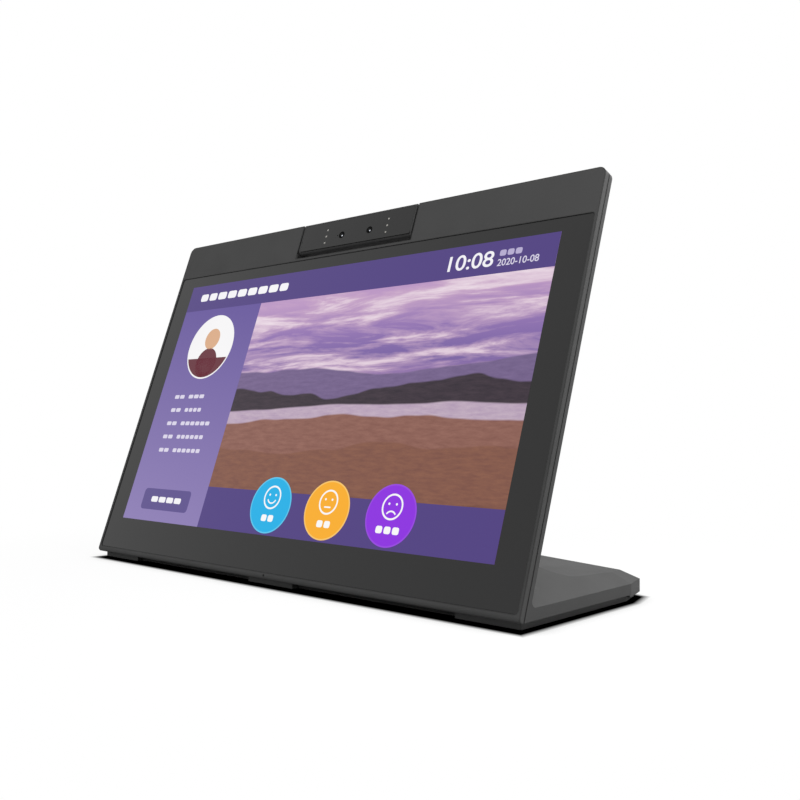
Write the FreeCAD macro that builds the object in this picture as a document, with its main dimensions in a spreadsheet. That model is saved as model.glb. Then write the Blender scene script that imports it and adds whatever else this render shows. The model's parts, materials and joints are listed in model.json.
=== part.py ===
"""Desktop touch terminal for customer feedback: a leaning screen on a low base, with a tilting camera bar.

The frame has +X to the reader's right, +Y to the back and +Z up. The terminal stands on Z = 0 and the middle of
its width and depth is at X = Y = 0. Pieces of the screen are drawn in a leaning frame of their own: x across,
y up the slope from the seam over the bottom plate, z out of the glass face, which is z = 0.
"""

import FreeCAD
import Part
import math
import operator
import os
import Sketcher
from FreeCAD import Placement, Rotation, Vector

# Millimetres and degrees
SIZES = {
    # Whole terminal
    "lean": 20.0,
    "base_depth": 163.0,
    "body_bottom": 4.6,
    "overrun": 5.0,
    "fit": 0.1,
    # Screen edge, front to back
    "lip_proud": 0.5,
    "seam_depth": 3.4,
    "reveal_width": 0.6,
    "reveal_depth": 0.5,
    "edge_depth": 7.2,
    "back_depth": 12.8,
    "facet": 27.0,
    "top_corner": 5.0,
    "lip_round": 2.5,
    # Lit area of the display, a 15.6 inch panel
    "view_width": 344.16,
    "view_height": 193.59,
    "view_bottom": 28.1,
    "side_margin": 20.57,
    "glass_margin": 9.01,
    # Cover glass and its bond
    "lip_side": 2.05,
    "lip_bottom": 4.7,
    "band_height": 29.2,
    "glass_gap": 0.15,
    "glass_thick": 1.8,
    "glass_corner": 2.0,
    "bond_thick": 0.3,
    "bond_inset": 1.5,
    # Display stack
    "panel_side": 3.25,
    "panel_top": 3.0,
    "panel_foot": 10.0,
    "panel_gap": 0.15,
    "cell_thick": 1.4,
    "light_thick": 1.6,
    "window_gap": 0.75,
    # Steel tray behind the display
    "tray_gap": 0.25,
    "tray_sheet": 1.2,
    "rim_side": 3.2,
    "rim_top": 4.2,
    "rim_foot": 8.3,
    "tray_screw_side": 7.08,
    "tray_screw_inner": 62.0,
    "tray_screw_bite": 1.0,
    "small_shank": 2.0,
    "small_head": 3.8,
    "small_head_thick": 1.2,
    # Rear shell
    "wall": 2.2,
    "back_wall": 2.0,
    "cavity_side": 13.25,
    "cavity_foot": 12.0,
    "rear_height": 15.0,
    "top_slope": 2.0,
    "wall_top": 11.0,
    "corner_setback": 49.9,
    "corner_run": 21.8,
    "corner_turn": 15.0,
    "rear_flat": 196.0,
    "facet_height": 6.0,
    "sweep": 43.0,
    "web_spare": 3.0,
    "web_setback": 55.5,
    "blend": 12.0,
    "blend_edge": 3.5,
    "blend_least": 1.5,
    "blend_root": 1.0,
    "blend_run": 95.0,
    "blend_step_count": 8,
    "skirt_drop": 1.2,
    "skirt_lead": 2.0,
    "boss": 7.0,
    "boss_reach": 60.0,
    # Cooling slots in the back of the screen
    "vent_count": 14,
    "vent_pitch": 9.0,
    "vent_width": 3.0,
    "vent_length": 22.0,
    "vent_up": 150.0,
    # Screws through the back of the screen
    "case_screw_past": 20.5,
    "case_screw_side": 28.75,
    "case_screw_drop": 19.9,
    "case_boss": 6.4,
    "case_shank": 3.0,
    "case_head": 5.5,
    "case_head_thick": 1.2,
    "case_screw_bite": 5.0,
    # Notch and camera bar
    "notch_width": 110.8,
    "notch_depth": 27.2,
    "notch_wall": 2.5,
    "pod_width": 108.0,
    "pod_height": 22.8,
    "pod_top_gap": 0.2,
    "pod_front": 0.4,
    "pod_depth": 13.4,
    "pod_round": 3.0,
    "pod_end": 3.5,
    "pod_side": 2.6,
    "pod_back": 2.4,
    "pod_face_thick": 1.2,
    "pod_face_inset": 1.2,
    "axis_depth": 6.8,
    # Camera bar's insides
    "camera_board_width": 92.0,
    "camera_board_height": 14.0,
    "camera_board_thick": 1.2,
    "camera_board_depth": 6.0,
    "camera_post": 5.0,
    "camera_post_x": 41.0,
    "optics_shift": 0.9,
    "lens_x": 13.3,
    "lens_drop": 1.9,
    "lens_barrel": 6.5,
    "lens_nose": 3.2,
    "lens_nose_length": 1.1,
    "led_x": 29.3,
    "led_pitch": 5.1,
    "led_body": 3.0,
    "led_nose": 1.7,
    "bar_pinhole": 0.9,
    "bar_pinhole_x": 17.4,
    "pod_shank": 1.8,
    "pod_head": 3.6,
    "pod_head_thick": 1.0,
    "pod_screw_length": 3.2,
    # Camera bar's pivot
    "pin": 4.0,
    "pin_fit": 0.02,
    "pin_running": 0.05,
    "pin_past": 1.6,
    "bush": 6.4,
    "washer": 9.0,
    "washer_side_gap": 0.2,
    "clip": 6.5,
    "clip_thick": 0.8,
    "clip_room": 9.0,
    # Boards and parts in the screen
    "driver_clear": 4.0,
    "driver_height": 16.0,
    "driver_up": 20.0,
    "board_thick": 1.2,
    "touch_x": 60.0,
    "touch_width": 40.0,
    "touch_height": 25.0,
    "touch_up": 100.0,
    "antenna_clear": 16.5,
    "antenna_height": 8.0,
    "antenna_thick": 0.6,
    "mic_hole": 1.2,
    "mic_up": 2.9,
    "mic_width": 12.0,
    "mic_height": 4.6,
    "mic_foot": 1.9,
    # Steel brackets that join the tray to the base
    "bracket_x": 92.0,
    "bracket_sheet": 2.0,
    "bracket_width": 16.0,
    "bracket_foot": 24.0,
    "bracket_inset": 4.5,
    "bracket_tail": 3.8,
    "bracket_hole_low": 34.0,
    "bracket_hole_high": 74.0,
    "bracket_hole_edge": 7.0,
    "bracket_hole_x": 4.0,
    # Steel weight in the base
    "weight_side": 43.75,
    "weight_setback": 37.5,
    "weight_gap": 6.0,
    "weight_thick": 5.0,
    # Bottom plate
    "plate_bottom": 0.65,
    "plate_thick": 3.35,
    "plate_inset": 3.0,
    "plate_front": 5.6,
    "rim_height": 2.4,
    "rim_wall": 2.0,
    "recess_inner": 21.0,
    "block_width": 44.75,
    "recess_depth": 5.0,
    "mesh_thick": 0.4,
    "plate_vent_count": 9,
    "plate_vent_pitch": 5.0,
    "plate_vent_width": 2.0,
    "plate_vent_length": 30.0,
    # Screws through the bottom plate
    "side_screw_inset": 17.75,
    "side_screw_front": 36.5,
    "side_screw_rear": 57.5,
    "rear_screw_past": 3.0,
    "rear_screw_inset": 17.5,
    "weight_screw_side": 10.0,
    "weight_screw_edge": 6.0,
    "plate_shank": 2.6,
    "plate_head": 5.6,
    "plate_head_thick": 1.3,
    "plate_screw_length": 5.0,
    # Rubber feet
    "foot_width": 36.0,
    "foot_depth": 10.0,
    "foot_corner": 3.0,
    "foot_seat": 0.6,
    "foot_front_side": 28.75,
    "foot_front_inset": 15.5,
    "foot_rear_side": 53.75,
    "foot_rear_inset": 31.5,
    # Speakers
    "speaker_side": 10.0,
    "speaker_width": 42.0,
    "speaker_inset": 14.5,
    "speaker_depth": 19.0,
    "speaker_height": 8.4,
    "speaker_cone": 15.0,
    "speaker_cone_height": 6.0,
    "speaker_cone_depth": 2.0,
    # Mainboard in the base
    "main_width": 150.0,
    "main_depth": 67.0,
    "main_rear_gap": 4.5,
    "main_lift": 1.8,
    "main_post": 6.0,
    "main_post_side": 7.0,
    "main_post_front": 6.0,
    "main_post_rear": 21.0,
    "main_shank": 2.2,
    "main_head": 4.2,
    "main_head_thick": 1.4,
    "main_screw_length": 2.6,
    "shield_width": 36.0,
    "shield_inset": 14.0,
    "shield_depth": 32.0,
    "shield_height": 1.6,
    "pad_thick": 0.4,
    "sink_spare": 3.0,
    "sink_base": 1.0,
    "sink_height": 3.0,
    "sink_pitch": 4.0,
    "sink_slot": 2.4,
    "sink_count": 8,
    # Sockets along the rear edge
    "socket_depth": 14.0,
    "socket_flush": 0.1,
    "jack_x": -58.0,
    "jack_width": 9.0,
    "jack_height": 5.6,
    "jack_bore": 5.0,
    "jack_pin": 2.0,
    "jack_reach": 9.0,
    "usb_left_x": -33.0,
    "usb_right_x": -11.0,
    "usb_width": 13.2,
    "usb_height": 5.6,
    "usb_shell": 0.4,
    "usb_reach": 12.0,
    "usb_tongue": 1.8,
    "usb_tongue_side": 0.6,
    "usb_tongue_top": 0.5,
    "usb_tongue_back": 1.2,
    "small_usb_x": 10.0,
    "small_usb_width": 9.0,
    "small_usb_height": 3.3,
    "small_usb_shell": 0.4,
    "small_usb_reach": 6.5,
    "small_usb_tongue": 0.7,
    "small_usb_tongue_side": 0.9,
    "audio_x": 27.0,
    "audio_width": 6.4,
    "audio_height": 5.4,
    "audio_bore": 3.6,
    # Power button
    "button_x": 52.0,
    "button_z": 9.6,
    "button": 5.0,
    "button_running": 0.08,
    "button_flange": 6.2,
    "button_flange_thick": 1.2,
    "button_flange_gap": 0.15,
    "button_sink": 0.2,
    "button_length": 7.9,
    "plunger": 3.0,
    "plunger_running": 0.06,
    "plunger_gap": 0.05,
    "plunger_length": 3.75,
    "switch_gap": 2.9,
    "switch_depth": 8.5,
    "switch_width": 6.0,
    "switch_height": 4.8,
    "switch_bore_depth": 1.9,
    "switch_notch_gap": 0.5,
    "switch_notch_side": 6.0,
    # Flat cables
    "cable_back": 0.30,
    "cable_rise": 0.35,
    "cable_lift": 12.2,
    "cable_run": 10.0,
    "cable_turn_inset": 23.5,
    "cable_land_gap": 2.0,
    "cable_end_inset": 6.0,
    "display_cable_x": 30.0,
    "display_cable_width": 24.0,
    "display_cable_up": 56.0,
    "touch_cable_width": 10.0,
    "camera_cable_x": -54.0,
    "camera_cable_width": 8.0,
    "camera_cable_drop": 33.9,
    "cable_depth": 8.2,
}

NEAR = 1e-4
COUNTS = {name for name in SIZES if name.endswith("_count")}


class Size:
    """A length, angle or ratio together with the sheet expression that gives it."""

    def __init__(self, value, text):
        self.value = value
        self.text = text

    def __add__(self, other):
        return combine(self, "+", other)

    def __radd__(self, other):
        return combine(other, "+", self)

    def __sub__(self, other):
        return combine(self, "-", other)

    def __rsub__(self, other):
        return combine(other, "-", self)

    def __mul__(self, other):
        return combine(self, "*", other)

    def __rmul__(self, other):
        return combine(other, "*", self)

    def __truediv__(self, other):
        return combine(self, "/", other)

    def __neg__(self):
        return combine(0, "-", self)


SIGNS = {"+": operator.add, "-": operator.sub, "*": operator.mul, "/": operator.truediv}


def as_size(given):
    """A plain number, such as zero or a share, as a Size."""
    return given if isinstance(given, Size) else Size(float(given), repr(float(given)))


def combine(left, sign, right):
    left, right = as_size(left), as_size(right)
    return Size(SIGNS[sign](left.value, right.value), f"({left.text} {sign} {right.text})")


def sin(angle):
    return Size(math.sin(math.radians(angle.value)), f"sin({angle.text})")


def cos(angle):
    return Size(math.cos(math.radians(angle.value)), f"cos({angle.text})")


def tan(angle):
    return Size(math.tan(math.radians(angle.value)), f"tan({angle.text})")


def atan(ratio):
    return Size(math.degrees(math.atan(ratio.value)), f"(atan({ratio.text}) / 1 deg)")


class Named:
    """The sheet's sizes as attributes."""


DOC = FreeCAD.newDocument("feedback_terminal")
SHEET = DOC.addObject("Spreadsheet::Sheet", "Sizes")
S = Named()
for row, (name, number) in enumerate(SIZES.items(), start=1):
    SHEET.set(f"A{row}", name)
    SHEET.set(f"B{row}", str(number))
    SHEET.setAlias(f"B{row}", name)
    setattr(S, name, number if name in COUNTS else Size(float(number), f"Sizes.{name}"))
DOC.recompute()
S.body_width = S.view_width + S.side_margin * 2
S.slab_height = S.view_bottom + S.view_height + S.glass_margin + S.band_height

PLANES = {"XY": "XY_Plane", "YZ": "YZ_Plane", "XZ": "XZ_Plane"}
PIECES = []


def bind(thing, name, size):
    """Ties a property or constraint to the sheet."""
    thing.setExpression(name, as_size(size).text)


def place(sketch, shape, point, x, y):
    """Holds one point of a sketch at x, y."""
    for kind, size in (("DistanceX", as_size(x)), ("DistanceY", as_size(y))):
        index = sketch.addConstraint(Sketcher.Constraint(kind, -1, 1, shape, point, size.value))
        bind(sketch, f"Constraints[{index}]", size)


def polygon(points):
    """A closed outline of straight lines."""
    def add(sketch):
        corners = [Vector(as_size(x).value, as_size(y).value, 0) for x, y in points]
        follows = corners[1:] + corners[:1]
        lines = [sketch.addGeometry(Part.LineSegment(a, b), False) for a, b in zip(corners, follows)]
        for line, following in zip(lines, lines[1:] + lines[:1]):
            sketch.addConstraint(Sketcher.Constraint("Coincident", line, 2, following, 1))
        for line, (x, y) in zip(lines, points):
            place(sketch, line, 1, x, y)
    return add


def rectangle(x0, y0, x1, y1):
    return polygon([(x0, y0), (x1, y0), (x1, y1), (x0, y1)])


def circle(x, y, diameter):
    def add(sketch):
        centre = Vector(as_size(x).value, as_size(y).value, 0)
        ring = sketch.addGeometry(Part.Circle(centre, Vector(0, 0, 1), diameter.value / 2), False)
        place(sketch, ring, 3, x, y)
        index = sketch.addConstraint(Sketcher.Constraint("Diameter", ring, diameter.value))
        bind(sketch, f"Constraints[{index}]", diameter)
    return add


def rounded(x0, y0, x1, y1, radius):
    """A rectangle with four equal round corners."""
    def add(sketch):
        corners = [(x1 - radius, y1 - radius), (x0 + radius, y1 - radius),
                   (x0 + radius, y0 + radius), (x1 - radius, y0 + radius)]
        arcs = []
        for turn, (x, y) in enumerate(corners):
            ring = Part.Circle(Vector(x.value, y.value, 0), Vector(0, 0, 1), radius.value)
            start = turn * math.pi / 2
            arcs.append(sketch.addGeometry(Part.ArcOfCircle(ring, start, start + math.pi / 2), False))
        for arc, following in zip(arcs, arcs[1:] + arcs[:1]):
            ends = sketch.Geometry[arc].EndPoint, sketch.Geometry[following].StartPoint
            line = sketch.addGeometry(Part.LineSegment(*ends), False)
            sketch.addConstraint(Sketcher.Constraint("Tangent", arc, 2, line, 1))
            sketch.addConstraint(Sketcher.Constraint("Tangent", line, 2, following, 1))
        for arc, (x, y) in zip(arcs, corners):
            place(sketch, arc, 3, x, y)
            index = sketch.addConstraint(Sketcher.Constraint("Radius", arc, radius.value))
            bind(sketch, f"Constraints[{index}]", radius)
    return add


def new_body(name, leaning=False):
    """An empty body, upright or in the screen's leaning frame."""
    body = DOC.addObject("PartDesign::Body", name)
    body.AllowCompound = True
    if leaning:
        body.Placement = Placement(Vector(), Rotation(Vector(1, 0, 0), right_angle - S.lean.value))
        bind(body, "Placement.Rotation.Angle", right_angle - S.lean)
        bind(body, "Placement.Base.y", foot_y())
        bind(body, "Placement.Base.z", S.body_bottom)
    return body


def draw(body, plane, start, loops):
    """A sketch on one of the body's own planes, start away from it along +X, +Y or +Z."""
    sketch = body.newObject("Sketcher::SketchObject", f"{body.Name}_sketch")
    base = next(item for item in body.Origin.OriginFeatures if item.Role == PLANES[plane])
    sketch.AttachmentSupport = [(base, "")]
    sketch.MapMode = "FlatFace"
    bind(sketch, "AttachmentOffset.Base.z", -as_size(start) if plane == "XZ" else start)
    for loop in loops:
        loop(sketch)
    return sketch


def volume(body):
    return body.Tip.Shape.Volume if body.Tip else 0


def feature(body, kind, plane, start, length, loops, grows):
    before = volume(body)
    sketch = draw(body, plane, start, loops)
    item = body.newObject(f"PartDesign::{kind}", f"{body.Name}_{kind.lower()}")
    item.Profile = sketch
    item.Reversed = (plane == "XZ") == grows
    bind(item, "Length", length)
    sketch.recompute()
    item.recompute()
    change = volume(body) - before
    if (change > 0) != grows or abs(change) < NEAR:
        raise RuntimeError(f"{item.Name} changes {body.Name} by {change:.3f} cubic mm")
    return item


def pad(body, plane, start, length, *loops):
    """Adds the outline from start, for length along +X, +Y or +Z."""
    return feature(body, "Pad", plane, start, length, loops, True)


def pocket(body, plane, start, length, *loops):
    """Cuts the outline from start, for length along +X, +Y or +Z."""
    return feature(body, "Pocket", plane, start, length, loops, False)


def fillet(body, radius, **at):
    """Rounds the straight edges whose ends all lie at the given x, y or z. side is x of either sign."""
    shape = body.Tip.Shape

    def chosen(edge):
        for vertex in edge.Vertexes:
            seen = {"x": vertex.X, "y": vertex.Y, "z": vertex.Z, "side": abs(vertex.X)}
            if any(abs(seen[name] - as_size(size).value) > NEAR for name, size in at.items()):
                return False
        crosses = "side" in at and edge.BoundBox.XLength > NEAR
        return len(edge.Vertexes) == 2 and not crosses
    names = [f"Edge{number}" for number, edge in enumerate(shape.Edges, start=1) if chosen(edge)]
    item = body.newObject("PartDesign::Fillet", f"{body.Name}_fillet")
    item.Base = (item.BaseFeature or body.Tip, names)
    bind(item, "Radius", radius)
    item.recompute()
    if not names or "Invalid" in item.State:
        raise RuntimeError(f"fillet of {body.Name} finds {names}, {item.State}")
    return item


def loft(body, *levels, plane="XY"):
    """A solid with straight sides between outlines at two or more distances from a plane."""
    sketches = [draw(body, plane, start, [loop]) for start, loop in levels]
    item = body.newObject("PartDesign::AdditiveLoft", f"{body.Name}_loft")
    item.Profile = sketches[0]
    item.Sections = [(sketch, ["Sketch"]) for sketch in sketches[1:]]
    item.Ruled = True
    for sketch in sketches:
        sketch.recompute()
    item.recompute()
    return item


def join(name, *shapes):
    item = DOC.addObject("Part::MultiFuse", name)
    item.Shapes = list(shapes)
    item.Refine = True
    return item


def overlap(name, base, tool):
    item = DOC.addObject("Part::Common", name)
    item.Base, item.Tool, item.Refine = base, tool, True
    return item


def cut(name, base, tool):
    item = DOC.addObject("Part::Cut", name)
    item.Base, item.Tool, item.Refine = base, tool, True
    return item


def piece(item, name):
    """Names a finished piece and keeps it for export."""
    item.Label = name
    PIECES.append(item)
    return item


right_angle = 90
MIRRORED = (("left", -1), ("right", 1))


def half(size):
    return size / 2


def rear():
    return half(S.base_depth)


def front():
    return -half(S.base_depth)


def side():
    return half(S.body_width)


def foot_y():
    """Back-to-front place of the leaning frame's foot, so that the round lip's front is half the depth forward."""
    return front() + S.lip_round - S.lip_round * tan(S.lean) + (S.lip_proud - S.lip_round) / cos(S.lean)


def behind(depth, height):
    """Y of the plane depth behind the glass face, at a height over the ground."""
    return foot_y() + (height - S.body_bottom) * tan(S.lean) + depth / cos(S.lean)


def world(up, depth):
    """Y, Z of the point up the slope and depth behind the glass face."""
    y = foot_y() + up * sin(S.lean) + depth * cos(S.lean)
    return y, S.body_bottom + up * cos(S.lean) - depth * sin(S.lean)


def glass_top():
    return S.slab_height - S.band_height


def panel_outline(grow):
    """Left, foot, right and top of the display panel, grown all round."""
    side = half(S.view_width) + S.panel_side + grow
    top = S.view_bottom + S.view_height + S.panel_top + grow
    return -side, S.view_bottom - S.panel_foot - grow, side, top


def panel_depth():
    """Depth of the display panel's front behind the glass face."""
    return S.glass_thick + S.panel_gap


def tray_depth():
    """Depth of the tray's back."""
    return panel_depth() + S.cell_thick + S.light_thick + S.tray_gap + S.tray_sheet


def case_screw_xs():
    return half(S.notch_width) + S.case_screw_past, side() - S.case_screw_side


def case_screw_up():
    return S.slab_height - S.case_screw_drop


def case_screws():
    return [(sign * x, case_screw_up()) for sign in (-1, 1) for x in case_screw_xs()]


def tray_screws():
    x0, foot, x1, top = panel_outline(S.window_gap)
    ups = (foot - half(S.rim_foot), top + half(S.rim_top))
    xs = (S.tray_screw_inner, half(S.view_width) - S.tray_screw_side)
    return [(sign * x, up) for sign in (-1, 1) for x in xs for up in ups]


def front_frame():
    """Frame with the band over the glass, the ledge behind it and the notch of the camera bar."""
    body = new_body("front_frame", leaning=True)
    width, proud, seam = S.body_width, S.lip_proud, S.seam_depth
    pad(body, "YZ", -half(width), width, polygon([
        (-(proud * tan(S.lean)), proud), (S.slab_height, proud),
        (S.slab_height, -seam), (seam * tan(S.lean), -seam)]))
    fillet(body, S.lip_round, y=-(proud * tan(S.lean)), z=proud)
    fillet(body, S.top_corner, side=half(width), y=S.slab_height)
    side = half(width) - S.lip_side
    floor = -(S.glass_thick + S.bond_thick)
    pocket(body, "XY", floor, proud - floor + S.overrun,
           rounded(-side, S.lip_bottom, side, glass_top(), S.glass_corner))
    pocket(body, "XY", -seam - S.overrun, seam + S.overrun, rectangle(*panel_outline(S.window_gap)))
    notch = half(S.notch_width)
    pocket(body, "XY", -seam - S.overrun, seam + S.overrun + proud + S.overrun,
           rectangle(-notch, S.slab_height - S.notch_depth, notch, S.slab_height + S.overrun))
    pocket(body, "XY", -seam - S.overrun, seam + S.overrun + proud + S.overrun,
           circle(0, S.mic_up, S.mic_hole))
    reach = S.back_depth - S.back_wall - seam
    pad(body, "XY", -seam - reach, reach, *[circle(x, y, S.case_boss) for x, y in case_screws()])
    pocket(body, "XY", -seam - reach - S.overrun, S.overrun + S.case_screw_bite + S.fit,
           *[circle(x, y, S.case_shank + S.fit) for x, y in case_screws()])
    pocket(body, "XY", -seam - S.overrun, S.overrun + S.tray_screw_bite + S.fit,
           *[circle(x, y, S.small_shank + S.fit) for x, y in tray_screws()])
    return piece(body, "front_frame")


def glass_outline(shrink, radius):
    side = half(S.body_width) - S.lip_side - shrink
    return rounded(-side, S.lip_bottom + shrink, side, glass_top() - shrink, radius)


def cover_glass():
    body = new_body("cover_glass", leaning=True)
    pad(body, "XY", -S.glass_thick, S.glass_thick, glass_outline(S.glass_gap, S.glass_corner))
    return piece(body, "cover_glass")


def glass_bond():
    """Adhesive frame between the glass and its ledge."""
    body = new_body("glass_bond", leaning=True)
    pad(body, "XY", -S.glass_thick - S.bond_thick, S.bond_thick,
        glass_outline(S.bond_inset, S.glass_corner), rectangle(*panel_outline(S.window_gap + S.bond_inset)))
    return piece(body, "glass_bond")


def display_panel():
    """Liquid crystal cell, its backlight and the steel tray that holds both against the frame."""
    cell = new_body("display_cell", leaning=True)
    cell_back = panel_depth() + S.cell_thick
    pad(cell, "XY", -cell_back, S.cell_thick, rectangle(*panel_outline(0)))
    piece(cell, "display_cell")
    light = new_body("backlight", leaning=True)
    pad(light, "XY", -cell_back - S.light_thick, S.light_thick, rectangle(*panel_outline(0)))
    piece(light, "backlight")
    tray = new_body("display_tray", leaning=True)
    x0, foot, x1, top = panel_outline(S.window_gap)
    pad(tray, "XY", -tray_depth(), tray_depth() - S.seam_depth,
        rectangle(x0 - S.rim_side, foot - S.rim_foot, x1 + S.rim_side, top + S.rim_top))
    pocket(tray, "XY", -tray_depth() + S.tray_sheet, tray_depth(), rectangle(x0, foot, x1, top))
    pocket(tray, "XY", -tray_depth() - S.overrun, tray_depth() + S.overrun,
           *[circle(x, y, S.small_shank + S.fit) for x, y in tray_screws()])
    pocket(tray, "XY", -tray_depth() - S.overrun, tray_depth() + S.overrun,
           *[circle(x, y, S.small_shank + S.fit) for x, y in bracket_tray_screws()])
    piece(tray, "display_tray")
    screws = new_body("tray_screws", leaning=True)
    reach = tray_depth() - S.seam_depth + S.tray_screw_bite
    pad(screws, "XY", -tray_depth(), reach, *[circle(x, y, S.small_shank) for x, y in tray_screws()])
    pad(screws, "XY", -tray_depth() - S.small_head_thick, S.small_head_thick,
        *[circle(x, y, S.small_head) for x, y in tray_screws()])
    piece(screws, "tray_screws")


def plan(inset, rear, front):
    """Outline of the base seen from above: straight sides, a small facet, a slanted rear edge, a straight middle."""
    first = S.corner_turn
    x1, y1 = side(), half(S.base_depth) - S.corner_setback
    x2, y2 = x1 - S.corner_run * sin(first), y1 + S.corner_run * cos(first)
    second = atan((x2 - half(S.rear_flat)) / (half(S.base_depth) - y2))
    spread = 1 + cos(second - first)
    x1, y1 = x1 - inset, y1 - inset * tan(half(first))
    x2 = x2 - inset * (cos(first) + cos(second)) / spread
    y2 = y2 - inset * (sin(first) + sin(second)) / spread
    x3 = x2 - (rear - y2) * tan(second)
    return polygon([(-x1, front), (x1, front), (x1, y1), (x2, y2), (x3, rear),
                    (-x3, rear), (-x2, y2), (-x1, y1)])


def side_corner(inset):
    """Y, Z where the base's top and the screen's back would meet with no sweep between them."""
    slope, lean = tan(S.top_slope), tan(S.lean)
    rear = half(S.base_depth)
    height = S.rear_height - inset / cos(S.top_slope)
    back = foot_y() + (S.back_depth - inset) / cos(S.lean)
    y = (back + (height - S.body_bottom + rear * slope) * lean) / (1 + slope * lean)
    return y, height + (rear - y) * slope


def sweep_length(inset):
    """Distance from that corner to either end of the sweep."""
    return (S.sweep + inset) * tan(half(right_angle + S.lean - S.top_slope))


def sweep_end(inset):
    """Place up the slope a little past the sweep's upper end."""
    rise = side_corner(inset)[1] - S.body_bottom + (S.back_depth - inset) * sin(S.lean)
    return rise / cos(S.lean) + sweep_length(inset) + S.web_spare


def side_profile(name, inset, depth, bottom, rear, start, width):
    """Solid of the side view behind the plane depth behind the glass face, with the sweep from base to screen."""
    body = new_body(name)
    edge = half(S.base_depth)
    corner = side_corner(inset)
    reach = sweep_end(inset)
    rear_top = S.rear_height - inset / cos(S.top_slope) + (edge - rear) * tan(S.top_slope)
    pad(body, "YZ", start, width, polygon([
        (behind(depth, bottom), bottom), (rear, bottom), (rear, rear_top), corner,
        world(reach, S.back_depth - inset), world(reach, depth)]))
    fillet(body, S.sweep + inset, y=corner[0], z=corner[1])
    return body


def roof(name, inset, start, drop):
    """Solid under the sloping sides: the base's walls, its side facets and the wedge that climbs the screen."""
    front, rear = -half(S.base_depth) - S.overrun, half(S.base_depth) + S.overrun
    run = S.facet_height / tan(S.facet)
    body = new_body(name)
    foot = S.wall_top - drop
    pad(body, "XY", start, foot - start, plan(inset, half(S.base_depth) - inset, front))
    loft(body, (foot, plan(inset, rear, front)), (foot + S.facet_height, plan(inset + run, rear, front)))
    climb = sweep_length(as_size(0)) * cos(S.lean) + S.web_spare
    rise = side_corner(as_size(0))[1] - S.wall_top + climb
    side = half(S.body_width) - inset
    pad(body, "XZ", front, half(S.base_depth) - S.web_setback - front, polygon([
        (-side, foot), (side, foot), (side - rise / tan(S.facet), foot + rise),
        (rise / tan(S.facet) - side, foot + rise)]))
    return body


def plate_screws():
    """Screws into the rear shell's posts."""
    x = side() - S.side_screw_inset
    spots = ((x, front() + S.side_screw_front), (x, rear() - S.side_screw_rear),
             (half(S.rear_flat) - S.rear_screw_past, rear() - S.rear_screw_inset))
    return [(sign * x, y) for sign in (-1, 1) for x, y in spots]


def main_front():
    return rear() - S.main_rear_gap - S.main_depth


def weight_outline():
    across = side() - S.weight_side
    return -across, front() + S.weight_setback, across, main_front() - S.weight_gap


def weight_screws():
    """Screws into the steel weight."""
    x0, y0, x1, y1 = weight_outline()
    ys = (y0 + S.weight_screw_edge, y1 - S.weight_screw_edge)
    return [(sign * (x1 - S.weight_screw_side), y) for sign in (-1, 1) for y in ys]


def plate_top():
    return S.plate_bottom + S.plate_thick


def main_top():
    """Height of the mainboard's upper face."""
    return plate_top() + S.main_lift + S.board_thick


def blend_outline(x, depth, radius):
    """Side view of the round between the sloping side and the screen, x out from the middle."""
    height = S.wall_top + (half(S.body_width) - x) * tan(S.facet)
    y = behind(depth, height)
    reach, turn = radius * tan(half(right_angle + S.lean)), right_angle + S.lean
    steps = [right_angle + turn / S.blend_step_count * number for number in range(S.blend_step_count + 1)]
    curve = [(y + reach + radius * cos(step), height + radius - radius * sin(step)) for step in steps]
    root = S.blend_root
    high = y + reach - radius * cos(S.lean) - root, height + radius + radius * sin(S.lean)
    return polygon([(y - root, height - root), (y + reach, height - root), *curve, high])


def blend(name, sign):
    """Round that eases the base's sloping side into the screen, wide near the screen's edge and narrow inside."""
    body = new_body(name)
    outer = half(S.body_width)
    inner = outer - (S.back_depth - S.edge_depth) / tan(S.facet)
    spots = ((outer, S.edge_depth, S.blend_edge), (inner, S.back_depth, S.blend),
             (outer - S.blend_run, S.back_depth, S.blend_least))
    loft(body, *[(x * sign, blend_outline(x, depth, radius)) for x, depth, radius in spots], plane="YZ")
    return body


def skirt():
    """Deeper lower edge of the base's rear walls."""
    body = new_body("shell_skirt")
    rear = half(S.base_depth)
    start = S.body_bottom - S.skirt_drop
    first = rear - S.corner_setback - S.skirt_lead
    pad(body, "XY", start, S.skirt_drop, plan(as_size(0), rear, first))
    pocket(body, "XY", start, S.skirt_drop, plan(S.wall, rear - S.wall, first - S.overrun))
    return body


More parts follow.
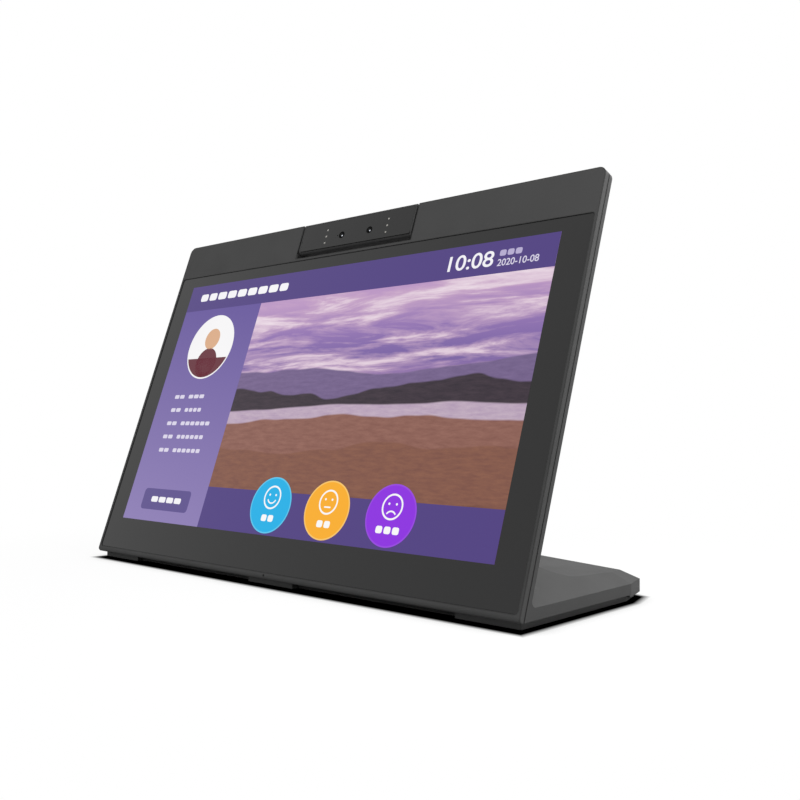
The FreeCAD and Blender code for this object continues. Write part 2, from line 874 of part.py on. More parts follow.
def shell_outside():
    """The shell's outer form as one solid: thin leaning edge behind its shadow line, raised back, swept base."""
    edge = new_body("shell_edge", leaning=True)
    side, top = half(S.body_width), S.slab_height
    foot = -(S.overrun + S.overrun)
    reveal = S.seam_depth + S.reveal_width
    pad(edge, "XY", -S.edge_depth, S.edge_depth - reveal, rectangle(-side, foot, side, top))
    fillet(edge, S.top_corner, side=side, y=top)
    step = new_body("shell_step", leaning=True)
    inner = side - S.reveal_depth
    pad(step, "XY", -S.edge_depth, S.edge_depth - S.seam_depth,
        rounded(-inner, foot, inner, top - S.reveal_depth, S.top_corner))
    back = new_body("shell_back", leaning=True)
    run = (S.back_depth - S.edge_depth) / tan(S.facet)
    loft(back, (-S.edge_depth, rounded(-side + S.fit, foot, side - S.fit, top - S.fit, S.top_corner)),
         (-S.back_depth, rounded(run - side, foot, side - run, top - run, S.top_corner)))
    floor = new_body("shell_floor")
    pad(floor, "XY", S.body_bottom - half(S.base_depth), half(S.base_depth),
        rectangle(-S.body_width, -S.base_depth, S.body_width, S.base_depth))
    slab = cut("shell_slab", join("shell_slab_whole", edge, step, back), floor)
    profile = side_profile("shell_profile", as_size(0), reveal, S.body_bottom, half(S.base_depth),
                           -side, S.body_width)
    base = overlap("shell_base", profile, roof("shell_roof", as_size(0), S.body_bottom, as_size(0)))
    blends = [blend(f"shell_blend_{name}", sign) for name, sign in MIRRORED]
    return join("shell_outside", slab, base, skirt(), *blends)


def shell_inside():
    """The hollow of the shell, open to the front and at the bottom."""
    slab = new_body("hollow_slab", leaning=True)
    side = half(S.body_width) - S.cavity_side
    inner = S.back_depth - S.back_wall
    wall = half(S.notch_width) + S.notch_wall
    under = S.slab_height - S.notch_depth - S.notch_wall
    pad(slab, "XY", -inner, inner,
        rectangle(-side, S.cavity_foot, side, S.slab_height - S.cavity_side))
    pocket(slab, "XY", -inner - S.overrun, inner + S.overrun + S.overrun,
           rectangle(-wall, under, wall, S.slab_height))
    drop = S.wall / cos(S.facet) - S.wall * tan(S.facet)
    profile = side_profile("hollow_profile", S.wall, as_size(0), S.body_bottom - S.overrun,
                           half(S.base_depth) - S.wall, -half(S.body_width), S.body_width)
    roofed = roof("hollow_roof", S.wall, S.body_bottom - S.overrun, drop)
    return join("shell_inside", slab, overlap("hollow_base", profile, roofed))


def socket_openings():
    """Left, foot, right and top of each hole in the rear wall."""
    foot = main_top()
    spots = ((S.jack_x, S.jack_width, S.jack_height), (S.usb_left_x, S.usb_width, S.usb_height),
             (S.usb_right_x, S.usb_width, S.usb_height), (S.small_usb_x, S.small_usb_width, S.small_usb_height),
             (S.audio_x, S.audio_width, S.audio_height))
    return [rectangle(x - half(w) - S.fit, foot - S.fit, x + half(w) + S.fit, foot + h + S.fit)
            for x, w, h in spots]


def rear_shell():
    """One moulding: the screen's back, the sweep and the base's top and walls."""
    outside = shell_outside()
    posts = new_body("shell_posts")
    pad(posts, "XY", plate_top(), S.boss_reach, *[circle(x, y, S.boss) for x, y in plate_screws()])
    trim = new_body("shell_post_trim")
    pad(trim, "XY", plate_top(), S.body_bottom - plate_top(),
        *[circle(x, y, S.boss) for x, y in plate_screws()])
    posts_in = join("shell_posts_in", overlap("shell_posts_top", posts, outside), trim)
    hollow = cut("shell_hollow", outside, shell_inside())
    holes = new_body("shell_holes")
    depth = S.plate_screw_length + S.fit
    pad(holes, "XY", plate_top() - S.overrun, S.overrun + depth,
        *[circle(x, y, S.plate_shank + S.fit) for x, y in plate_screws()])
    rear = half(S.base_depth) - S.wall - S.overrun
    through = S.wall + S.overrun + S.overrun
    pad(holes, "XZ", rear, through, *socket_openings())
    pad(holes, "XZ", rear, through, circle(S.button_x, S.button_z, S.button + S.button_running * 2))
    openings = new_body("screen_holes", leaning=True)
    notch = half(S.notch_width)
    length = S.back_depth + S.overrun
    pad(openings, "XY", -length, length, rectangle(
        -notch, S.slab_height - S.notch_depth, notch, S.slab_height + S.overrun))
    pad(openings, "XY", -length, length - S.edge_depth,
        *[circle(x, y, S.case_shank + S.fit) for x, y in case_screws()])
    pad(openings, "XY", -length, length - S.back_depth + S.case_head_thick,
        *[circle(x, y, S.case_head + S.fit) for x, y in case_screws()])
    first = -half(S.vent_pitch) * (S.vent_count - 1)
    slots = [first + S.vent_pitch * number for number in range(S.vent_count)]
    for x in slots:
        pad(openings, "XY", -length, length - S.edge_depth, rounded(
            x - half(S.vent_width), S.vent_up, x + half(S.vent_width), S.vent_up + S.vent_length,
            S.vent_width / 3))
    bores = new_body("pivot_bores", leaning=True)
    reach = notch + S.notch_wall + S.overrun
    pad(bores, "YZ", -reach, reach * 2, circle(pod_middle(), -S.axis_depth, S.bush + S.pin_fit))
    outside = notch + S.notch_wall
    for start in (-reach, outside):
        pad(bores, "YZ", start, S.overrun, circle(pod_middle(), -S.axis_depth, S.clip_room))
    tools = join("shell_tools", holes, openings, bores)
    return piece(cut("rear_shell", join("shell_with_posts", hollow, posts_in), tools), "rear_shell")


def pod_middle():
    """Place up the slope of the camera bar's middle, which is its tilt axis."""
    return S.slab_height - S.pod_top_gap - half(S.pod_height)


def pod_outline(shrink):
    side = half(S.pod_width) - S.pod_face_inset - shrink
    rise = half(S.pod_height) - S.pod_face_inset - shrink
    return rounded(-side, pod_middle() - rise, side, pod_middle() + rise, S.pod_face_inset)


def camera_posts():
    return [(sign * S.camera_post_x, pod_middle()) for sign in (-1, 1)]


def lens_up():
    return pod_middle() - S.lens_drop


def led_spots():
    return [(S.optics_shift + sign * S.led_x, pod_middle() - S.lens_drop / 2 + step * S.led_pitch)
            for sign in (-1, 1) for step in (-1, 0, 1)]


def camera_bar():
    """Camera bar that tilts in the notch: housing, face, board, two cameras and six infrared lamps."""
    shell = new_body("camera_housing", leaning=True)
    width, front, back = S.pod_width, S.pod_front, S.pod_front - S.pod_depth
    low, high = pod_middle() - half(S.pod_height), pod_middle() + half(S.pod_height)
    pad(shell, "YZ", -half(width), width, polygon([(low, front), (high, front), (high, back), (low, back)]))
    fillet(shell, S.pod_round, y=low, z=front)
    fillet(shell, S.pod_round, y=low, z=back)
    fillet(shell, S.pod_round, y=high, z=back)
    pocket(shell, "XY", front - S.pod_face_thick, S.pod_face_thick + S.overrun, pod_outline(as_size(0)))
    inner_side = half(width) - S.pod_end
    inner_rise = half(S.pod_height) - S.pod_side
    floor = back + S.pod_back
    pocket(shell, "XY", floor, front - floor + S.overrun, rectangle(
        -inner_side, pod_middle() - inner_rise, inner_side, pod_middle() + inner_rise))
    board_back = -S.camera_board_depth - S.camera_board_thick
    pad(shell, "XY", floor, board_back - floor, *[circle(x, y, S.camera_post) for x, y in camera_posts()])
    pocket(shell, "XY", board_back - S.pod_screw_length, S.pod_screw_length,
           *[circle(x, y, S.pod_shank + S.fit) for x, y in camera_posts()])
    pocket(shell, "YZ", -half(width) - S.overrun, width + S.overrun * 2,
           circle(pod_middle(), -S.axis_depth, S.pin + S.pin_fit * 2))
    piece(shell, "camera_housing")

    face = new_body("camera_face", leaning=True)
    pad(face, "XY", front - S.pod_face_thick, S.pod_face_thick, pod_outline(S.fit))
    pocket(face, "XY", front - S.pod_face_thick - S.overrun, S.pod_face_thick + S.overrun * 2,
           *[circle(S.optics_shift + sign * S.lens_x, lens_up(), S.lens_nose + S.fit) for sign in (-1, 1)],
           circle(S.optics_shift - S.bar_pinhole_x, lens_up(), S.bar_pinhole),
           *[circle(x, y, S.led_nose + S.fit) for x, y in led_spots()])
    piece(face, "camera_face")

    board = new_body("camera_board", leaning=True)
    across, up = half(S.camera_board_width), half(S.camera_board_height)
    pad(board, "XY", board_back, S.camera_board_thick,
        rectangle(-across, pod_middle() - up, across, pod_middle() + up),
        *[circle(x, y, S.pod_shank + S.fit) for x, y in camera_posts()])
    piece(board, "camera_board")

    nose_back = front - S.pod_face_thick - S.fit
    nose = S.lens_nose_length
    for name, sign in (("infrared_camera", -1), ("colour_camera", 1)):
        lens = new_body(name, leaning=True)
        pad(lens, "XY", -S.camera_board_depth, nose_back + S.camera_board_depth,
            circle(S.optics_shift + sign * S.lens_x, lens_up(), S.lens_barrel))
        pad(lens, "XY", nose_back, nose, circle(S.optics_shift + sign * S.lens_x, lens_up(), S.lens_nose))
        piece(lens, name)
    lamps = new_body("infrared_lamps", leaning=True)
    pad(lamps, "XY", -S.camera_board_depth, nose_back + S.camera_board_depth,
        *[circle(x, y, S.led_body) for x, y in led_spots()])
    pad(lamps, "XY", nose_back, nose, *[circle(x, y, S.led_nose) for x, y in led_spots()])
    piece(lamps, "infrared_lamps")
    screws = new_body("camera_screws", leaning=True)
    pad(screws, "XY", board_back - S.pod_screw_length + S.fit, S.pod_screw_length + S.camera_board_thick,
        *[circle(x, y, S.pod_shank) for x, y in camera_posts()])
    pad(screws, "XY", -S.camera_board_depth, S.pod_head_thick,
        *[circle(x, y, S.pod_head) for x, y in camera_posts()])
    piece(screws, "camera_screws")


def ring(name, sign, start, length, outer, inner):
    """A ring about the camera bar's tilt axis, start out from the middle on one side."""
    body = new_body(name, leaning=True)
    first = start if sign > 0 else -(start + length)
    loops = [circle(pod_middle(), -S.axis_depth, outer)]
    if inner:
        loops.append(circle(pod_middle(), -S.axis_depth, inner))
    pad(body, "YZ", first, length, *loops)
    return body


def pivot():
    """Pins, bushes, friction washers and clips that carry the camera bar."""
    wall_in, wall_out = half(S.notch_width), half(S.notch_width) + S.notch_wall
    pod_side = half(S.pod_width)
    bore = S.pin + S.pin_running * 2
    inside = pod_side - S.pod_end + S.fit
    for side, sign in MIRRORED:
        piece(ring(f"pivot_pin_{side}", sign, inside, wall_out + S.pin_past - inside, S.pin, None),
              f"pivot_pin_{side}")
        piece(ring(f"pivot_bush_{side}", sign, wall_in, S.notch_wall, S.bush, bore), f"pivot_bush_{side}")
        gap = S.washer_side_gap
        piece(ring(f"friction_washer_{side}", sign, pod_side + gap, wall_in - pod_side - gap * 2,
                   S.washer, bore + S.fit), f"friction_washer_{side}")
    start = wall_out + S.washer_side_gap
    clips = [ring(f"pin_clip_{side}", sign, start, S.clip_thick, S.clip, S.pin + S.pin_fit * 2)
             for side, sign in MIRRORED]
    piece(join("pin_clips", *clips), "pin_clips")


def case_screw_group():
    body = new_body("case_screws", leaning=True)
    inner = S.back_depth - S.case_head_thick
    reach = S.back_wall - S.case_head_thick + S.case_screw_bite
    pad(body, "XY", -inner, reach, *[circle(x, y, S.case_shank) for x, y in case_screws()])
    pad(body, "XY", -S.back_depth, S.case_head_thick, *[circle(x, y, S.case_head) for x, y in case_screws()])
    piece(body, "case_screws")


def screen_boards():
    """Boards and aerials behind the display."""
    back = tray_depth()
    half_driver = S.bracket_x - half(S.bracket_width) - S.driver_clear
    half_touch, half_mic = half(S.touch_width), half(S.mic_width)
    boards = (
        ("display_driver", -half_driver, S.driver_up, half_driver, S.driver_up + S.driver_height, back),
        ("touch_board", -S.touch_x - half_touch, S.touch_up, half_touch - S.touch_x,
         S.touch_up + S.touch_height, back),
        ("microphone", -half_mic, S.mic_foot, half_mic, S.mic_foot + S.mic_height, S.seam_depth),
    )
    for name, x0, y0, x1, y1, depth in boards:
        body = new_body(name, leaning=True)
        pad(body, "XY", -depth - S.board_thick, S.board_thick, rectangle(x0, y0, x1, y1))
        piece(body, name)
    for side, sign in MIRRORED:
        body = new_body(f"antenna_{side}", leaning=True)
        inner, outer = case_screw_xs()
        middle, across, up = half(inner + outer) * sign, half(outer - inner) - S.antenna_clear, half(S.antenna_height)
        pad(body, "XY", -S.seam_depth - S.antenna_thick, S.antenna_thick, rectangle(
            middle - across, case_screw_up() - up, middle + across, case_screw_up() + up))
        piece(body, f"antenna_{side}")


def bracket_tray_screws():
    return [(sign * (S.bracket_x + S.bracket_hole_x), up) for sign in (-1, 1)
            for up in (S.bracket_hole_low, S.bracket_hole_high)]


def bracket_base_screws():
    x0, y0, x1, y1 = weight_outline()
    return [(sign * (S.bracket_x + S.bracket_hole_x), y) for sign in (-1, 1)
            for y in (y0 + S.bracket_hole_edge, y1 - S.bracket_hole_edge)]


def brackets():
    """Two bent steel brackets: one flange on the tray's back, one on the weight and a swept web between them."""
    back, top = tray_depth(), plate_top() + S.weight_thick
    sheet = S.bracket_sheet
    weight_front = weight_outline()[1]
    end = side_corner(S.bracket_inset)[0] + sweep_length(S.bracket_inset) + S.bracket_tail
    reach = sweep_end(S.bracket_inset)
    for side, sign in MIRRORED:
        start = S.bracket_x - half(S.bracket_width)
        web_start = start if sign > 0 else -start - sheet
        flange_start = start if sign > 0 else -start - S.bracket_width
        web = side_profile(f"bracket_web_{side}", S.bracket_inset, back, top, end, web_start, sheet)
        upper = new_body(f"bracket_upper_{side}", leaning=True)
        pad(upper, "XY", -back - sheet, sheet, rectangle(
            flange_start, S.bracket_foot, flange_start + S.bracket_width, reach))
        pocket(upper, "XY", -back - sheet - S.overrun, sheet + S.overrun * 2,
               *[circle(x, y, S.small_shank + S.fit) for x, y in bracket_tray_screws() if x.value * sign > 0])
        lower = new_body(f"bracket_lower_{side}")
        pad(lower, "XY", top, sheet, rectangle(
            flange_start, weight_front, flange_start + S.bracket_width, end))
        pocket(lower, "XY", top - S.overrun, sheet + S.overrun * 2,
               *[circle(x, y, S.small_shank + S.fit) for x, y in bracket_base_screws() if x.value * sign > 0])
        piece(join(f"bracket_{side}", web, upper, lower), f"bracket_{side}")
    screws = new_body("bracket_tray_screws", leaning=True)
    pad(screws, "XY", -back - sheet, sheet + S.tray_sheet - S.fit,
        *[circle(x, y, S.small_shank) for x, y in bracket_tray_screws()])
    pad(screws, "XY", -back - sheet - S.small_head_thick, S.small_head_thick,
        *[circle(x, y, S.small_head) for x, y in bracket_tray_screws()])
    piece(screws, "bracket_tray_screws")
    screws = new_body("bracket_base_screws")
    pad(screws, "XY", top - half(S.weight_thick), half(S.weight_thick) + sheet,
        *[circle(x, y, S.small_shank) for x, y in bracket_base_screws()])
    pad(screws, "XY", top + sheet, S.small_head_thick,
        *[circle(x, y, S.small_head) for x, y in bracket_base_screws()])
    piece(screws, "bracket_base_screws")


def base_weight():
    body = new_body("base_weight")
    pad(body, "XY", plate_top(), S.weight_thick, rectangle(*weight_outline()))
    pocket(body, "XY", plate_top() - S.overrun, S.overrun + S.plate_screw_length,
           *[circle(x, y, S.plate_shank + S.fit) for x, y in weight_screws()])
    top = plate_top() + S.weight_thick
    pocket(body, "XY", top - half(S.weight_thick) - S.fit, half(S.weight_thick) + S.fit + S.overrun,
           *[circle(x, y, S.small_shank + S.fit) for x, y in bracket_base_screws()])
    piece(body, "base_weight")


def feet():
    """Name, x and y of each rubber foot."""
    front_y, rear_y = front() + S.foot_front_inset, rear() - S.foot_rear_inset
    spots = [("foot_front_middle", as_size(0), front_y)]
    for name, sign in MIRRORED:
        spots.append((f"foot_front_{name}", sign * (side() - S.foot_front_side), front_y))
        spots.append((f"foot_rear_{name}", sign * (side() - S.foot_rear_side), rear_y))
    return spots


def foot_outline(x, y, grow):
    across, deep = half(S.foot_width) + grow, half(S.foot_depth) + grow
    return rounded(x - across, y - deep, x + across, y + deep, S.foot_corner)


def main_posts():
    x = half(S.main_width) - S.main_post_side
    ys = (main_front() + S.main_post_front, rear() - S.main_rear_gap - S.main_post_rear)
    return [(sign * x, y) for sign in (-1, 1) for y in ys]


def bottom_plate():
    """Plate under the base, with the rim that seats in the shell, sound outlets, vents and the board's posts."""
    body = new_body("bottom_plate")
    edge = front() + S.plate_front
    pad(body, "XY", S.plate_bottom, S.plate_thick, plan(S.plate_inset, rear() - S.plate_inset, edge))
    outer = S.wall + S.fit
    inner = outer + S.rim_wall
    pad(body, "XY", plate_top(), S.rim_height, plan(outer, rear() - outer, edge))
    pocket(body, "XY", plate_top(), S.rim_height + S.overrun, plan(inner, rear() - inner, edge + S.rim_wall))
    back = edge + S.recess_depth
    pocket(body, "XY", S.plate_bottom - S.overrun, S.plate_thick + S.rim_height + S.overrun * 2,
           *[rectangle(x0, edge - S.overrun, x1, back) for x0, x1 in outlets()])
    first = -half(S.plate_vent_pitch) * (S.plate_vent_count - 1)
    slots = [first + S.plate_vent_pitch * number for number in range(S.plate_vent_count)]
    pocket(body, "XY", S.plate_bottom - S.overrun, S.plate_thick + S.overrun * 2, *[
        rectangle(x - half(S.plate_vent_width), main_front() + S.shield_inset, x + half(S.plate_vent_width),
                  main_front() + S.shield_inset + S.plate_vent_length) for x in slots])
    pad(body, "XY", plate_top(), S.main_lift, *[circle(x, y, S.main_post) for x, y in main_posts()])
    pocket(body, "XY", plate_top() + S.main_lift - S.main_screw_length, S.main_screw_length,
           *[circle(x, y, S.main_shank + S.fit) for x, y in main_posts()])
    screws = plate_screws() + weight_screws()
    pocket(body, "XY", S.plate_bottom - S.overrun, S.plate_thick + S.overrun * 2,
           *[circle(x, y, S.plate_shank + S.fit) for x, y in screws])
    pocket(body, "XY", S.plate_bottom - S.overrun, S.overrun + S.plate_head_thick,
           *[circle(x, y, S.plate_head + S.fit) for x, y in screws])
    for name, x, y in feet():
        pocket(body, "XY", S.plate_bottom - S.overrun, S.overrun + S.foot_seat, foot_outline(x, y, S.fit))
    piece(body, "bottom_plate")
    for name, (x0, x1) in zip(("left", "right"), outlets()):
        mesh = new_body(f"outlet_mesh_{name}")
        pad(mesh, "XY", S.plate_bottom + S.fit, S.plate_thick + S.rim_height - S.fit,
            rectangle(x0, back - S.mesh_thick, x1, back))
        piece(mesh, f"outlet_mesh_{name}")
    group = new_body("plate_screws")
    start = S.plate_bottom + S.plate_head_thick
    pad(group, "XY", start, plate_top() - start + S.plate_screw_length - S.fit,
        *[circle(x, y, S.plate_shank) for x, y in screws])
    pad(group, "XY", S.plate_bottom, S.plate_head_thick, *[circle(x, y, S.plate_head) for x, y in screws])
    piece(group, "plate_screws")
    for name, x, y in feet():
        foot = new_body(name)
        pad(foot, "XY", as_size(0), S.plate_bottom + S.foot_seat, foot_outline(x, y, as_size(0)))
        piece(foot, name)


def outlets():
    """Left and right end of each sound outlet."""
    outer = side() - S.block_width
    return (-outer, -S.recess_inner), (S.recess_inner, outer)


def speakers():
    y = front() + S.speaker_inset
    for name, sign in MIRRORED:
        body = new_body(f"speaker_{name}")
        middle, across = sign * (outlets()[1][1] - S.speaker_side), half(S.speaker_width)
        pad(body, "XY", plate_top(), S.speaker_height,
            rectangle(middle - across, y, middle + across, y + S.speaker_depth))
        low = plate_top() + half(S.speaker_height) - half(S.speaker_cone_height)
        pocket(body, "XZ", y - S.overrun, S.overrun + S.speaker_cone_depth, rounded(
            middle - half(S.speaker_cone), low, middle + half(S.speaker_cone), low + S.speaker_cone_height,
            S.speaker_cone_height / 3))
        piece(body, f"speaker_{name}")


def mainboard():
    """Processor board on the bottom plate, with its shield, heat pad, heat sink and screws."""
    top = main_top()
    board = new_body("mainboard")
    across = half(S.main_width)
    pad(board, "XY", top - S.board_thick, S.board_thick,
        rectangle(-across, main_front(), across, main_front() + S.main_depth),
        *[circle(x, y, S.main_shank + S.fit) for x, y in main_posts()])
    notch = S.switch_notch_side
    pocket(board, "XY", top - S.board_thick - S.overrun, S.board_thick + S.overrun * 2, rectangle(
        S.button_x - notch, switch_rear() + S.switch_notch_gap, S.button_x + notch, rear()))
    piece(board, "mainboard")
    shield = new_body("processor_shield")
    wide, near = half(S.shield_width), main_front() + S.shield_inset
    far = near + S.shield_depth
    pad(shield, "XY", top, S.shield_height, rectangle(-wide, near, wide, far))
    piece(shield, "processor_shield")
    heat = new_body("heat_pad")
    pad(heat, "XY", top + S.shield_height, S.pad_thick, rectangle(-wide, near, wide, far))
    piece(heat, "heat_pad")
    sink = new_body("heat_sink")
    base = top + S.shield_height + S.pad_thick
    spare = S.sink_spare
    pad(sink, "XY", base, S.sink_height, rectangle(-wide - spare, near - spare, wide + spare, far + spare))
    first = -half(S.sink_pitch) * (S.sink_count - 1)
    slots = [first + S.sink_pitch * number for number in range(S.sink_count)]
    pocket(sink, "XY", base + S.sink_base, S.sink_height, *[
        rectangle(x - half(S.sink_slot), near - spare - S.overrun, x + half(S.sink_slot),
                  far + spare + S.overrun) for x in slots])
    piece(sink, "heat_sink")
    screws = new_body("board_screws")
    pad(screws, "XY", top - S.board_thick - S.main_screw_length + S.fit, S.board_thick + S.main_screw_length,
        *[circle(x, y, S.main_shank) for x, y in main_posts()])
    pad(screws, "XY", top, S.main_head_thick, *[circle(x, y, S.main_head) for x, y in main_posts()])
    piece(screws, "board_screws")


def socket_rear():
    return half(S.base_depth) - S.socket_flush


def socket(name, x, width, height):
    """A socket's block on the mainboard, its mouth at the rear wall."""
    body = new_body(name)
    start = rear() - S.socket_depth
    pad(body, "XZ", start, socket_rear() - start,
        rectangle(x - half(width), main_top(), x + half(width), main_top() + height))
    return body


def tongued_socket(name, x, width, height, shell, reach, tongue, tongue_side, tongue_foot):
    """A flat socket: a thin shell round a contact tongue."""
    body = socket(name, x, width, height)
    mouth = socket_rear() - reach
    inner = half(width) - shell
    pocket(body, "XZ", mouth, reach + S.overrun, rectangle(
        x - inner, main_top() + shell, x + inner, main_top() + height - shell))
    inner = inner - tongue_side
    pad(body, "XZ", mouth, reach - S.usb_tongue_back, rectangle(
        x - inner, tongue_foot, x + inner, tongue_foot + tongue))
    piece(body, name)


def sockets():
    """Power, two wide and one small data socket, and an audio socket."""
    mouth = socket_rear()
    jack = socket("power_socket", S.jack_x, S.jack_width, S.jack_height)
    middle = main_top() + half(S.jack_height)
    pocket(jack, "XZ", mouth - S.jack_reach, S.jack_reach + S.overrun, circle(S.jack_x, middle, S.jack_bore))
    pad(jack, "XZ", mouth - S.jack_reach, S.jack_reach - S.usb_tongue_back, circle(S.jack_x, middle, S.jack_pin))
    piece(jack, "power_socket")
    tongue_foot = main_top() + S.usb_height - S.usb_shell - S.usb_tongue_top - S.usb_tongue
    for name, x in (("usb_socket_left", S.usb_left_x), ("usb_socket_right", S.usb_right_x)):
        tongued_socket(name, x, S.usb_width, S.usb_height, S.usb_shell, S.usb_reach, S.usb_tongue,
                       S.usb_tongue_side, tongue_foot)
    tongue_foot = main_top() + half(S.small_usb_height) - half(S.small_usb_tongue)
    tongued_socket("small_usb_socket", S.small_usb_x, S.small_usb_width, S.small_usb_height,
                   S.small_usb_shell, S.small_usb_reach, S.small_usb_tongue,
                   S.small_usb_tongue_side, tongue_foot)
    audio = socket("audio_socket", S.audio_x, S.audio_width, S.audio_height)
    middle = main_top() + half(S.audio_height)
    pocket(audio, "XZ", mouth - S.usb_reach, S.usb_reach + S.overrun, circle(S.audio_x, middle, S.audio_bore))
    piece(audio, "audio_socket")


def button_tail():
    return rear() - S.button_sink - S.button_length


def switch_rear():
    return button_tail() - S.switch_gap


def power_button():
    """Push button in the rear wall, the plunger that it presses and the switch on the mainboard."""
    x, z = S.button_x, S.button_z
    cap = new_body("power_button")
    pad(cap, "XZ", button_tail(), S.button_length, circle(x, z, S.button))
    pad(cap, "XZ", rear() - S.wall - S.button_flange_gap - S.button_flange_thick, S.button_flange_thick,
        circle(x, z, S.button_flange))
    piece(cap, "power_button")
    plunger = new_body("switch_plunger")
    pad(plunger, "XZ", button_tail() - S.plunger_gap - S.plunger_length, S.plunger_length,
        circle(x, z, S.plunger))
    piece(plunger, "switch_plunger")
    switch = new_body("power_switch")
    pad(switch, "XZ", switch_rear() - S.switch_depth, S.switch_depth, rectangle(
        x - half(S.switch_width), main_top(), x + half(S.switch_width), main_top() + S.switch_height))
    pocket(switch, "XZ", switch_rear() - S.switch_bore_depth, S.switch_bore_depth + S.overrun,
           circle(x, z, S.plunger + S.plunger_running * 2))
    piece(switch, "power_switch")


def ribbon(name, x, width, up):
    """Flat cable from up the screen's back, down and round to the mainboard."""
    body = new_body(name)
    depth = S.cable_depth
    top, turn = world(up, depth), front() + S.cable_turn_inset
    low = turn, (turn - foot_y() - depth / cos(S.lean)) / tan(S.lean) + S.body_bottom
    path = [top, low, (turn + S.cable_run, S.cable_lift), (main_front() - S.cable_land_gap, S.cable_lift),
            (main_front() + S.cable_end_inset, main_top())]
    shifted = [(y + S.cable_back, z + S.cable_rise) for y, z in path]
    pad(body, "YZ", x - half(width), width, polygon(path + shifted[::-1]))
    return piece(body, name)


def cables():
    ribbon("display_cable", S.display_cable_x, S.display_cable_width, S.display_cable_up)
    ribbon("touch_cable", -S.touch_x + half(S.touch_width), S.touch_cable_width, S.touch_up)
    ribbon("camera_cable", S.camera_cable_x, S.camera_cable_width,
           S.slab_height - S.camera_cable_drop)


def check():
    """Stops on any failed object or unsound piece."""
    DOC.recompute()
    for item in DOC.Objects:
        if {"Invalid", "Error"} & set(item.State):
            raise RuntimeError(f"{item.Name} failed: {item.State}")
    for item in PIECES:
        if item.Shape.isNull() or not item.Shape.isValid() or not item.Shape.Solids:
            raise RuntimeError(f"{item.Label} has no sound shape")


def main():
    front_frame()
    cover_glass()
    glass_bond()
    display_panel()
    rear_shell()
    camera_bar()
    pivot()
    case_screw_group()
    screen_boards()
    brackets()
    base_weight()
    bottom_plate()
    speakers()
    mainboard()
    sockets()
    power_button()
    cables()
    check()
    os.makedirs("parts", exist_ok=True)
    for item in PIECES:
        item.Shape.exportStep(os.path.join("parts", f"{item.Label}.step"))
    print(len(PIECES), "pieces written")


main()
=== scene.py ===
"""Finishes, screen picture and small fittings for a leaning touch terminal with a camera bar."""

import json
import math

import bmesh
import bpy
from bpy.props import FloatProperty, FloatVectorProperty, PointerProperty, StringProperty
from mathutils import Matrix, Vector


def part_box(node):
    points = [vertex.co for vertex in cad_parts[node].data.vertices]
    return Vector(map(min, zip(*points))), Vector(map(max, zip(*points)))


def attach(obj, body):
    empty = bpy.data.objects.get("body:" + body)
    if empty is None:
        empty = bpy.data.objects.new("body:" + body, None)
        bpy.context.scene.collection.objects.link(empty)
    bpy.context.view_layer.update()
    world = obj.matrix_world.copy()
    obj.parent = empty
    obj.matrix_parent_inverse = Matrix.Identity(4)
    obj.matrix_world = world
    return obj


bl_info = {
    "name": "Touch Terminal Dresser",
    "version": (1, 0, 0),
    "blender": (4, 5, 0),
    "location": "View3D > Sidebar > Terminal",
    "description": "Adds finishes, a screen picture, fittings and a stage to a leaning touch terminal",
    "category": "Object",
}

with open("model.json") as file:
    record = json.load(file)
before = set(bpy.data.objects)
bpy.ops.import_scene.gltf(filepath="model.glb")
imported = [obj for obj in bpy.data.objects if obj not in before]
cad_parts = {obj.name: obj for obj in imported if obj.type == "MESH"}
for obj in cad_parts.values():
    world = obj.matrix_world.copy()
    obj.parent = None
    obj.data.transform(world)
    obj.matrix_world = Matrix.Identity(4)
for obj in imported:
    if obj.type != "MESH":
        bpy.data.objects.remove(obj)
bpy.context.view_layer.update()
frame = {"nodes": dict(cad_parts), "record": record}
NODES = frame["nodes"]
MM = 0.001

# Lean of the body, and thickness of the cover glass
LEAN = math.radians(20)
GLASS_THICK = 1.8 * MM
# The lit picture, in millimetres: its lower left corner from the middle of the glass's foot, and its size
PICTURE_LEFT, PICTURE_FOOT = -173.18, 23.25
PICTURE_WIDE, PICTURE_HIGH = 344.16, 193.59
# Width of its side panel, top of its foot bar and foot of its title bar
SIDE_WIDE, FOOT_TOP, TITLE_FOOT = 92.5, 29.3, 171.5
# Thickness of one layer of the picture, and its brightness as a share of full white
LAYER = 0.05
LIT = 0.92
# Dusk sky: heights as shares of the picture, and the colours there
SKY = (
    (0.45, "#C99AA8"),
    (0.52, "#B18ABA"),
    (0.62, "#755EA4"),
    (0.74, "#9676B6"),
    (0.86, "#C09AC8"),
    (0.95, "#B892C6"),
)
# Ridges from far to near: height, swing, number of waves, place in the noise, and two tones of their ground
RIDGES = (
    (0.60, 0.09, 2.4, 3.0, "#6E5B86", "#7C6894"),
    (0.53, 0.12, 3.1, 11.0, "#2E2430", "#41343F"),
    (0.46, 0.07, 1.6, 17.0, "#B59DB8", "#C9B4C6"),
    (0.41, 0.10, 2.2, 23.0, "#85574C", "#98695C"),
    (0.33, 0.14, 1.7, 41.0, "#7C4F43", "#8E5E4A"),
    (0.15, 0.16, 1.3, 57.0, "#6E4437", "#805342"),
)

# Middle of the camera bar's optics: across and up from the glass's foot, and out from the glass
OPTICS_MIDDLE = (0.9, 241.55, 0.4)
# Distances of the lenses and of the lamps from that middle, and from lamp to lamp
LENS_OUT, LAMP_OUT, LAMP_PITCH = 13.3, 29.3, 5.1

# Mouldings of the shell with crisp edges, which get the broader painted shade along their edges
CRISP_EDGED = ("front_frame", "camera_housing")
# Painted shade along sharp edges, a dark line where their roundings would be shaded: its reach in millimetres, the
# cosines of the turn where it starts and is full, and its strength
SOFT_EDGE_SHADE = (1.3, 0.95, 0.8, 0.95)
BROAD_EDGE_SHADE = (1.9, 0.985, 0.87, 0.75)
